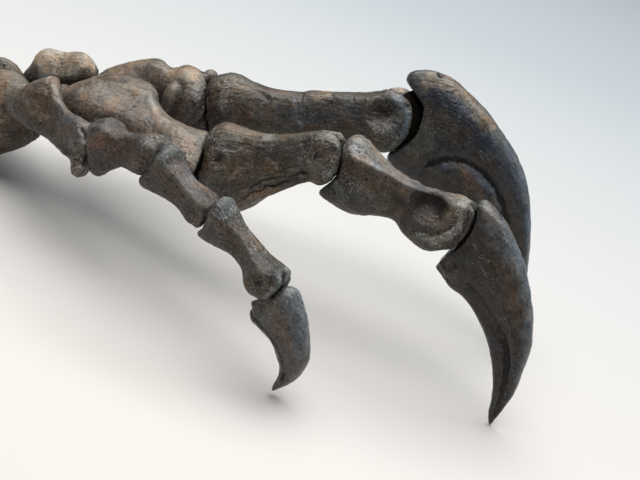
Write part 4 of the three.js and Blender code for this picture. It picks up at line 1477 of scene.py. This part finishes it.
claw_2.work(120, [
    ridge(second_groove, 1.5, -1.0),
    dent((28, -5), (6, 3), -1.0, 30),
    dent((24, -1), (3, 3), 0.9),
    dent((33, -7), (2.6, 2.2), 0.9),
    ridge([(22, -9), (26, -7), (30, -6)], 1.2, 0.9),
    ridge([(-6, 21), (4, 27), (16, 30.5), (34, 33)], 2.4, 0.7),
    dent((30, 10), (12, 5), 0.8),
    ridge(heel_crack, 0.8, -0.7),
    ridge([(38, 18), (50, 21.5), (66, 23.5), (84, 22), (100, 16.5)], 2.0, 0.6),
], rough=0.4)
claw_2.colour(
    121, (0.025, 0.020, 0.016), (0.092, 0.092, 0.092), (0.008, 0.006, 0.004),
    [
        ((0.115, 0.106, 0.092), 0.7, patch((-3, 25), (8, 6))),
        # Painted bluish sheen on the back
        ((0.074, 0.083, 0.094), 0.5, patch((22, 32), (24, 4), 6)),
        ((0.052, 0.037, 0.027), 0.6, patch((46, 27), (24, 4.5))),
        ((0.066, 0.058, 0.048), 0.55, patch((26, -5), (9, 5), 30)),
        # Painted shade with dirt in the groove and the heel's crack
        (SHADE_AND_DIRT, 0.7, line(second_groove, 2.2)),
        (SHADE_AND_DIRT, 0.6, line(heel_crack, 1.0)),
        ((0.011, 0.009, 0.008), 0.7, patch((88, 14), (26, 8))),
    ],
    flecks=0.1,
    crust=[
        (0.22, line([(17.6, 12), (38, 17), (46, 20), (66, 21.5)], 5)),
        (0.2, patch((26, -3), (8, 6))),
    ],
)
claw_2.lay_down(claw_finish)

# Third finger's bones
# Three short finger bones that step down in front of the others, each with a lipped base and a
# small spool-shaped head. Brown-grey bone turned to stone, joined close.

FINGER_3 = ((-132, -28, 51), 33, 16)

third_finish = bone_finish(
    "third_finger_stone", SHADE_AND_DIRT, FINGER_BLOOM, FINGER_FLECK, gloss=0.42, streak=0.6,
    grain_depth=1.35,
)

phalanx_3_1 = Bone(
    "phalanx_3_1",
    finger_place(FINGER_3, 0, 0, 5.5),
    back=[
        (5.5, 15.5), (10, 18), (15, 19), (18.5, 19.5), (21, 18.5), (24, 15.5), (27, 13), (32, 12),
        (40, 12), (47, 12), (53, 8),
    ],
    palm=[
        (4, -11.5), (6, -13.5), (9, -14), (13, -12), (21, -9), (26, -7.5), (31, -8.5), (34.5, -10),
        (38, -11.5),
    ],
    base=[(5.5, -5.5), (7, 0), (6.5, 9)],
    head=[(44, -10), (51, -4), (55, 3)],
    thickness=[9, 12.5, 12, 9, 8, 9.5, 11, 8],
    square=2.3,
    flare=-0.1,
    groove=1.5,
)
phalanx_3_1.cut_back("metacarpal_3")
phalanx_3_1.work(130, [
    dent((16, 4), (6, 6), 1.0),
    dent((17, -9), (4, 3), -1.0),
    dent((34, 4), (6, 5), 1.0),
    ring((47, 2), 6, 2, 0.6),
    dent((47, 2), (3.4, 3.4), 1.0),
    ridge([(9, 15), (16, 16), (24, 12)], 2, 0.8),
])
phalanx_3_1.colour(
    131, (0.055, 0.041, 0.033), (0.036, 0.029, 0.025), (0.022, 0.016, 0.012),
    [
        ((0.063, 0.043, 0.034), 0.6, patch((28, 10), (9, 5))),
        (UMBER, 0.75, patch((12, 2), (7, 9))),
        (UMBER, 0.8, patch((17, -8), (8, 5))),
        (RUST, 0.5, patch((16, 8), (8, 6))),
        # Painted highlights along the lit top edge
        ((0.110, 0.092, 0.078), 0.5, line([(9, 14), (14, 17), (19, 17), (23, 14)], 2.2)),
        ((0.098, 0.084, 0.072), 0.45, line([(26, 11.5), (34, 10.5), (44, 10.5)], 2.4)),
        ((0.077, 0.070, 0.062), 0.6, patch((53, 10), (8, 6))),
    ],
    flecks=0.2,
    crust=[(0.36, patch((52, 7), (9, 10))), (0.2, patch((12, 15), (8, 5)))],
)
phalanx_3_1.lay_down(third_finish)

phalanx_3_2 = Bone(
    "phalanx_3_2",
    finger_place(FINGER_3, 49.5, -7.5, 49),
    back=[
        (-1.5, 10), (0, 13), (3, 14.5), (6.5, 13.5), (11, 11), (18, 8.5), (25, 8), (32, 10),
        (41, 11),
    ],
    palm=[
        (1.8, -17), (4.5, -17.2), (9, -15), (15, -12.5), (22, -9.5), (29, -7.8), (35, -7.4),
        (40, -7.7),
    ],
    base=[(0, -15), (0, -6.5), (-1, 4)],
    head=[(43, -7.8), (45, -3.5), (44, 3), (43, 8.5)],
    thickness=[8, 11, 10, 7.5, 7, 8, 9.5, 7],
    square=2.6,
    shoulders=[0.55, 0.65, 0.75, 0.7],
    groove=1.5,
)
phalanx_3_2.cut_back("phalanx_3_1")
phalanx_3_2.work(140, [
    ridge([(4, 11), (12, 8), (20, 6), (30, 7)], 2.0, 0.8),
    dent((12, -4), (7, 5), 0.9),
    dent((36, 0), (3.6, 3.6), 1.2),
    ring((36, 0), 6.5, 2, 0.6),
])
phalanx_3_2.colour(
    141, (0.056, 0.045, 0.036), (0.048, 0.040, 0.035), (0.042, 0.032, 0.024),
    [
        (BLUE_RIM, 0.4, patch((4, 12), (4.5, 6))),
        (LILAC, 0.6, patch((20, 8), (12, 4))),
        # Painted shade in the ligament pit
        (UMBER, 0.6, patch((36, 0), (4, 4))),
    ],
    flecks=0.2,
    crust=[(0.25, patch((3, 11), (7, 8))), (0.2, patch((40, 0), (8, 9)))],
)
phalanx_3_2.lay_down(third_finish)

phalanx_3_3 = Bone(
    "phalanx_3_3",
    finger_place(FINGER_3, 79, -39, 52),
    back=[
        (-1, 10.5), (-1.5, 14), (0, 16.5), (4, 16.4), (10, 14.4), (18, 12.8), (26, 11.9),
        (34, 11.2), (41, 12.6), (47, 15.3), (50.5, 16.4),
    ],
    palm=[
        (2, -13), (5, -12.6), (9, -10.8), (14, -8.4), (21, -4.2), (26.5, -2.4), (31, -1.9),
        (35, -3.5), (38.5, -6), (43.5, -6.9), (48, -6.6),
    ],
    base=[(2.5, -10), (3.5, -5), (2.5, 0.5), (0, 5.5)],
    head=[(52, -7), (56, -3.6), (57.4, 1), (56.8, 6), (54, 12)],
    thickness=[7.5, 10, 9, 7, 6.5, 7.5, 9.5, 10, 7],
    square=2.6,
    shoulders=[0.5, 0.6, 0.75, 0.75, 0.65],
    groove=2,
    pits=[((47, 3.5), 4.5, 2.5)],
)
phalanx_3_3.cut_back("phalanx_3_2")
phalanx_3_3.work(150, [
    ridge([(2, 14), (10, 13.5), (20, 12), (32, 10.5)], 2.0, 0.7),
    dent((24, 4), (9, 4), 0.8),
    ring((46, 2), 7, 2, 0.7),
    ridge([(50.5, 14), (54, 10), (55.5, 3), (53.5, -4)], 1.6, 0.7),
    dent((5, 2), (3, 6), -0.6),
])
phalanx_3_3.colour(
    151, (0.057, 0.049, 0.041), (0.038, 0.035, 0.031), (0.053, 0.042, 0.032),
    [
        (BLUE_RIM, 0.4, patch((4, 15), (7, 3))),
        (OCHRE, 0.3, patch((24, 12), (10, 3))),
        # Painted shade in the ligament pit
        (UMBER, 0.75, patch((46, 3), (4.5, 4))),
        ((0.200, 0.250, 0.285), 0.8, line([(50, 18), (54.5, 12), (56.5, 5), (55.5, 0)], 2.0)),
    ],
    flecks=0.22,
    crust=[
        (0.2, patch((5, 12), (7, 9))),
        (0.25, patch((33, 9), (6, 5))),
        (0.2, patch((47, 2), (9, 11))),
        (0.3, line([(8, 15), (22, 13), (34, 12)], 4)),
    ],
)
phalanx_3_3.lay_down(third_finish)

# Third claw
# The smallest claw, short and deep, with a heavy heel and a sheath groove that runs out at the
# tip. Blue-grey bone turned to stone, worn brown in the middle.

third_groove = [(12.5, -8), (16, -2.5), (20.5, 3.5), (26, 7.5), (33, 10), (41, 11), (49, 9)]

claw_3 = Bone(
    "claw_3",
    finger_place(FINGER_3, 109, -81, 97),
    back=[
        (-2, 10), (-3.8, 13), (-3.3, 16.1), (-0.8, 19.2), (4.2, 21), (11, 23), (18, 24.5), (26, 25),
        (32.2, 24.9), (38.3, 23.4), (45.5, 19.2), (51.4, 13.4), (55, 7), (58.5, 1),
    ],
    palm=[
        (6.8, -10.4), (11, -9.2), (13, -11.4), (16.3, -11.4), (19.5, -8.7), (22.9, -5.2),
        (25.8, -0.9), (30.2, 1.7), (36, 3.4), (41.6, 5.4), (47, 4.8), (52, 2.1), (57, -1),
    ],
    base=[(7, -6), (5.5, 0.5), (1.5, 6)],
    head=[(58.8, -0.5)],
    thickness=[7, 9, 9.5, 8.5, 7.5, 6.5, 5.5, 4, 1.3],
    square=2.1,
    furrow=([(15, -11), (20, -5.5), (24.5, 1), (31, 4.5), (38, 7), (46, 8.5)], 2, 1.3),
)
claw_3.cut_back("phalanx_3_3")
claw_3.work(160, [
    ridge(third_groove, 1.2, -0.9),
    ridge([(0, 17), (10, 20), (22, 21.5), (34, 19.5)], 2.0, 0.6),
    dent((18, -8), (4, 3), -0.7),
], rough=0.8)
claw_3.colour(
    161, (0.065, 0.058, 0.049), (0.112, 0.113, 0.113), (0.050, 0.043, 0.036),
    [
        (SLATE, 0.6, patch((16, 21), (22, 5))),
        ((0.074, 0.060, 0.048), 0.4, patch((18, 12), (10, 5))),
        # Painted shade with dirt in the groove
        (SHADE_AND_DIRT, 0.75, line(third_groove, 1.7)),
    ],
    flecks=0.3,
    crust=[(0.2, patch((12, 0), (9, 9)))],
)
claw_3.lay_down(claw_finish)

# Painted shade in the joints
# Each bone darkens towards the bones that it meets: painted shade where they shadow each other,
# with grime in the joints. It is colour on the bones above and no piece of its own.

PALM_JOINTS = [
    ("metacarpal_1", "metacarpal_2"), ("metacarpal_2", "metacarpal_3"),
    ("metacarpal_1", "phalanx_1_1"), ("metacarpal_2", "phalanx_1_1"),
    ("metacarpal_2", "phalanx_3_1"), ("wrist_bone", "metacarpal_1"),
    ("wrist_bone", "metacarpal_2"), ("wrist_bone", "metacarpal_3"), ("wrist_bone", "ulna_end"),
    ("wrist_bone", "small_wrist_bone"), ("small_wrist_bone", "metacarpal_2"),
    ("small_wrist_bone", "metacarpal_3"), ("ulna_end", "metacarpal_3"),
    ("ulna_end", "metacarpal_2"), ("ulna_end", "radius_end"),
]
FINGER_JOINTS = [
    ("metacarpal_2", "phalanx_2_1"), ("metacarpal_3", "phalanx_3_1"),
    ("phalanx_1_1", "claw_1"), ("phalanx_2_1", "phalanx_2_2"), ("phalanx_2_2", "claw_2"),
    ("phalanx_3_1", "phalanx_3_2"), ("phalanx_3_2", "phalanx_3_3"), ("phalanx_3_3", "claw_3"),
]
# How far the painted shade spreads from a joint and how dark it gets, and the gap that it fills
# whole
PALM_JOINT_SHADE = (4.2, 0.88)
FINGER_JOINT_SHADE = (2.0, 0.85)
FULLY_SHADED_GAP = 1.2
# How many times its spread the painted shade is followed, and how uneven it is, as size and share
SHADE_REACH = 2.5
SHADE_LUMPS = (3.5, 0.35)
SHADE_SEED = 190


def near_box(points, others, margin):
    """Which points lie inside the box round the others, or near it."""
    return ((points > others.min(0) - margin) & (points < others.max(0) + margin)).all(1)


def shade_joint(pair, reach, strength):
    """Darkens both bones of a joint towards each other as painted shade, and takes their flecks off
    there.
    """
    for name, other in (pair, pair[::-1]):
        bone = Bone.made[name]
        facing = Bone.made[other].smooth
        near = near_box(bone.smooth, facing, reach * SHADE_REACH)
        facing = facing[near_box(facing, bone.smooth, reach * SHADE_REACH)]
        tree = KDTree(len(facing))
        for i, point in enumerate(facing):
            tree.insert(point, i)
        tree.balance()
        away = np.array([tree.find(point)[2] for point in bone.smooth[near]])
        away = away * (1 + raised(bone.smooth[near], SHADE_LUMPS, SHADE_SEED))
        joint_shade = strength * np.exp(-((np.maximum(away - FULLY_SHADED_GAP, 0) / reach) ** 2))
        bone.tone[near] = blend(bone.tone[near], np.array(SHADE_AND_DIRT), joint_shade)
        bone.flecks[near] -= joint_shade


for joint in PALM_JOINTS:
    shade_joint(joint, *PALM_JOINT_SHADE)
for joint in FINGER_JOINTS:
    shade_joint(joint, *FINGER_JOINT_SHADE)
for bone in Bone.made.values():
    layers = bone.piece.data.attributes
    shaded_tone = np.c_[bone.tone, np.ones(len(bone.tone))].astype(np.float32)
    layers["tone"].data.foreach_set("color", shaded_tone.ravel())
    layers["flecks"].data.foreach_set("value", bone.flecks.astype(np.float32))

# Joint packing
# Dark brown putty pressed into the five wider joints, which holds the bones to each other. It
# fills the gap a little below the bones' edges and keeps the marks of the fingers that set it. Its
# near-black colour is also painted shade, for the dark deep in those gaps.

PACKING_GAP = 0.12
PACKING_EDGE = 0.4
PACKING_FACETS = (60, 36)
# Finger marks in the putty, as size and height, and how far it sinks in all
BROAD_MARKS = (3.5, 0.12)
SMALL_MARKS = (1.5, 0.08)
PUTTY_SINK = 0.06
# Near-black and dark brown of the putty: its colour with the gaps' shade painted in
PUTTY_DARK = (0.004, 0.003, 0.002, 1)
PUTTY_BROWN = (0.012, 0.008, 0.005, 1)
PUTTY_PATTERN = (0.5, 5, 0.6)
PUTTY_SHADES = (0.35, 0.65)
PUTTY_DULLNESS = (0.3, 0.7, 0.62, 0.85)
PUTTY_RELIEF = {"Strength": 0.6, "Distance": 0.0004}
PUTTY_SHEEN = 0.12

packing = Finish("joint_packing_putty")
putty_grain = packing.layer("grain", "Vector")
putty_lumps = packing.noise(putty_grain, *PUTTY_PATTERN)
putty_relief = packing.add("Bump", {**PUTTY_RELIEF, "Height": putty_lumps})
putty_brown = packing.spread(putty_lumps, *PUTTY_SHADES)
packing.show(packing.add("BsdfPrincipled", {
    "Base Color": packing.mixed(putty_brown, PUTTY_DARK, PUTTY_BROWN),
    "Roughness": packing.spread(putty_lumps, *PUTTY_DULLNESS),
    "Specular IOR Level": PUTTY_SHEEN,
    "Normal": putty_relief,
}))


def largest_body(mesh):
    """The mesh with only the biggest of its separate bodies."""
    body = np.arange(len(mesh.vertices))
    a, b = edges_of(mesh).T
    while (body[a] != body[b]).any():
        low = np.minimum(body[a], body[b])
        np.minimum.at(body, a, low)
        np.minimum.at(body, b, low)
        body = body[body]
    biggest = np.bincount(body).argmax()
    kept = np.flatnonzero(body == biggest)
    place = np.full(len(body), -1)
    place[kept] = np.arange(len(kept))
    faces = [
        [place[v] for v in face.vertices]
        for face in mesh.polygons if body[face.vertices[0]] == biggest
    ]
    return mesh_of(places_in(mesh)[kept], faces)


def pack_joint(name, bones, finger, forward, up, radii, seed, slope=0):
    """Presses putty into a joint: an egg of it, cut back to the bones on both sides."""
    place = np.array(finger_place(finger, forward, up, slope))
    points, faces = egg(radii, (0, 0, 0), PACKING_FACETS)
    mesh = mesh_of(points @ place[:3, :3].T + place[:3, 3], faces)
    for bone in bones:
        mesh = cut_from(mesh, Bone.made[bone].mesh, PACKING_GAP)
    mesh = largest_body(evened(largest_body(mesh), PACKING_EDGE))
    points = places_in(mesh)
    here = (points - place[:3, 3]) @ place[:3, :3]
    lift = raised(here, BROAD_MARKS, seed) + raised(here, SMALL_MARKS, seed + 1) - PUTTY_SINK
    place_all(mesh, in_frame(points + places_in(mesh, "normal") * lift[:, None]))
    grain = mesh.attributes.new("grain", "FLOAT_VECTOR", "POINT")
    grain.data.foreach_set("vector", here.astype(np.float32).ravel())
    mesh.shade_smooth()
    mesh.materials.append(packing.material)
    piece = placed("putty_" + name, mesh)
    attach(piece, "root")
    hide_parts(name)


pack_joint(
    "packing_thumb_knuckle", ("metacarpal_1", "phalanx_1_1"), THUMB,
    forward=-1.5, up=-6, radii=(7, 9, 15), seed=170,
)
pack_joint(
    "packing_thumb_claw", ("phalanx_1_1", "claw_1"), THUMB,
    forward=125.5, up=-13, radii=(11, 6.5, 20), seed=173, slope=19,
)
pack_joint(
    "packing_2_knuckle", ("metacarpal_2", "phalanx_2_1"), FINGER_2,
    forward=0, up=-3, radii=(8, 9, 13.5), seed=176,
)
pack_joint(
    "packing_2_middle", ("phalanx_2_1", "phalanx_2_2"), FINGER_2,
    forward=83, up=0, radii=(8, 8, 11), seed=179,
)
pack_joint(
    "packing_2_claw", ("phalanx_2_2", "claw_2"), FINGER_2,
    forward=154, up=-40, radii=(9, 7, 11), seed=182,
)

# Floor, light and camera
# A plain pale floor under soft light from overhead, with a little cool light from one side, and
# the camera at the photograph's angle.

FLOOR_CORNERS = [(-6, -6, 0), (6, -6, 0), (6, 8, 0), (-6, 8, 0)]
# The floor is warm near the viewer and turns cool and darker between these two places along Y,
# in metres: painted shade, as if less light reached the far floor
NEAR_TONE = (0.53, 0.50, 0.475, 1)
FAR_TONE = (0.33, 0.36, 0.38, 1)
FAR_SHADE_SPAN = (-0.15, 0.75)
FLOOR_DULLNESS = 0.8

floor_mesh = bpy.data.meshes.new("floor")
floor_mesh.from_pydata(FLOOR_CORNERS, [], [(0, 1, 2, 3)])
floor = placed("floor", floor_mesh)
pale = Finish("pale_floor")
depth = pale.add("SeparateXYZ", {0: pale.add("TexCoord", {}, 3)}, 1)
paint = pale.mixed(pale.spread(depth, *FAR_SHADE_SPAN), NEAR_TONE, FAR_TONE)
pale.show(pale.add("BsdfPrincipled", {"Base Color": paint, "Roughness": FLOOR_DULLNESS}))
floor_mesh.materials.append(pale.material)


def soft_light(name, place, target, size, power, tint):
    light = bpy.data.lights.new(name, "AREA")
    light.shape = "DISK"
    light.size = size
    light.energy = power
    light.color = tint
    lamp = placed(name, light)
    lamp.location = place
    lamp.rotation_euler = (Vector(target) - Vector(place)).to_track_quat("-Z", "Y").to_euler()


soft_light(
    "overhead", place=(-0.1, 0.32, 1.7), target=(0, 0.05, 0), size=2.3, power=74,
    tint=(1.0, 0.995, 0.98),
)
soft_light(
    "window", place=(1.3, 0.5, 0.7), target=(0, 0, 0.05), size=0.8, power=4,
    tint=(0.70, 0.86, 1.0),
)

ROOM_TINT = (0.80, 0.88, 0.95, 1)
ROOM_STRENGTH = 0.17
world = bpy.data.worlds.new("room")
world.use_nodes = True
room = world.node_tree.nodes["Background"]
room.inputs["Color"].default_value = ROOM_TINT
room.inputs["Strength"].default_value = ROOM_STRENGTH
bpy.context.scene.world = world

# Where the camera stands, and how far it is tipped up from straight down and rolled, in degrees
CAMERA_PLACE = (0.055126, -0.723055, 0.40611)
CAMERA_TIP = 64.21
CAMERA_ROLL = 21.78
LENS = 76.5
SENSOR = 36
camera_lens = bpy.data.cameras.new("camera")
camera_lens.lens = LENS
camera_lens.sensor_width = SENSOR
camera = placed("camera", camera_lens)
camera.matrix_world = (
    Matrix.Translation(CAMERA_PLACE)
    @ Matrix.Rotation(math.radians(CAMERA_TIP), 4, "X")
    @ Matrix.Rotation(math.radians(CAMERA_ROLL), 4, "Z")
)
bpy.context.scene.camera = camera
bpy.context.scene.view_settings.view_transform = "Standard"
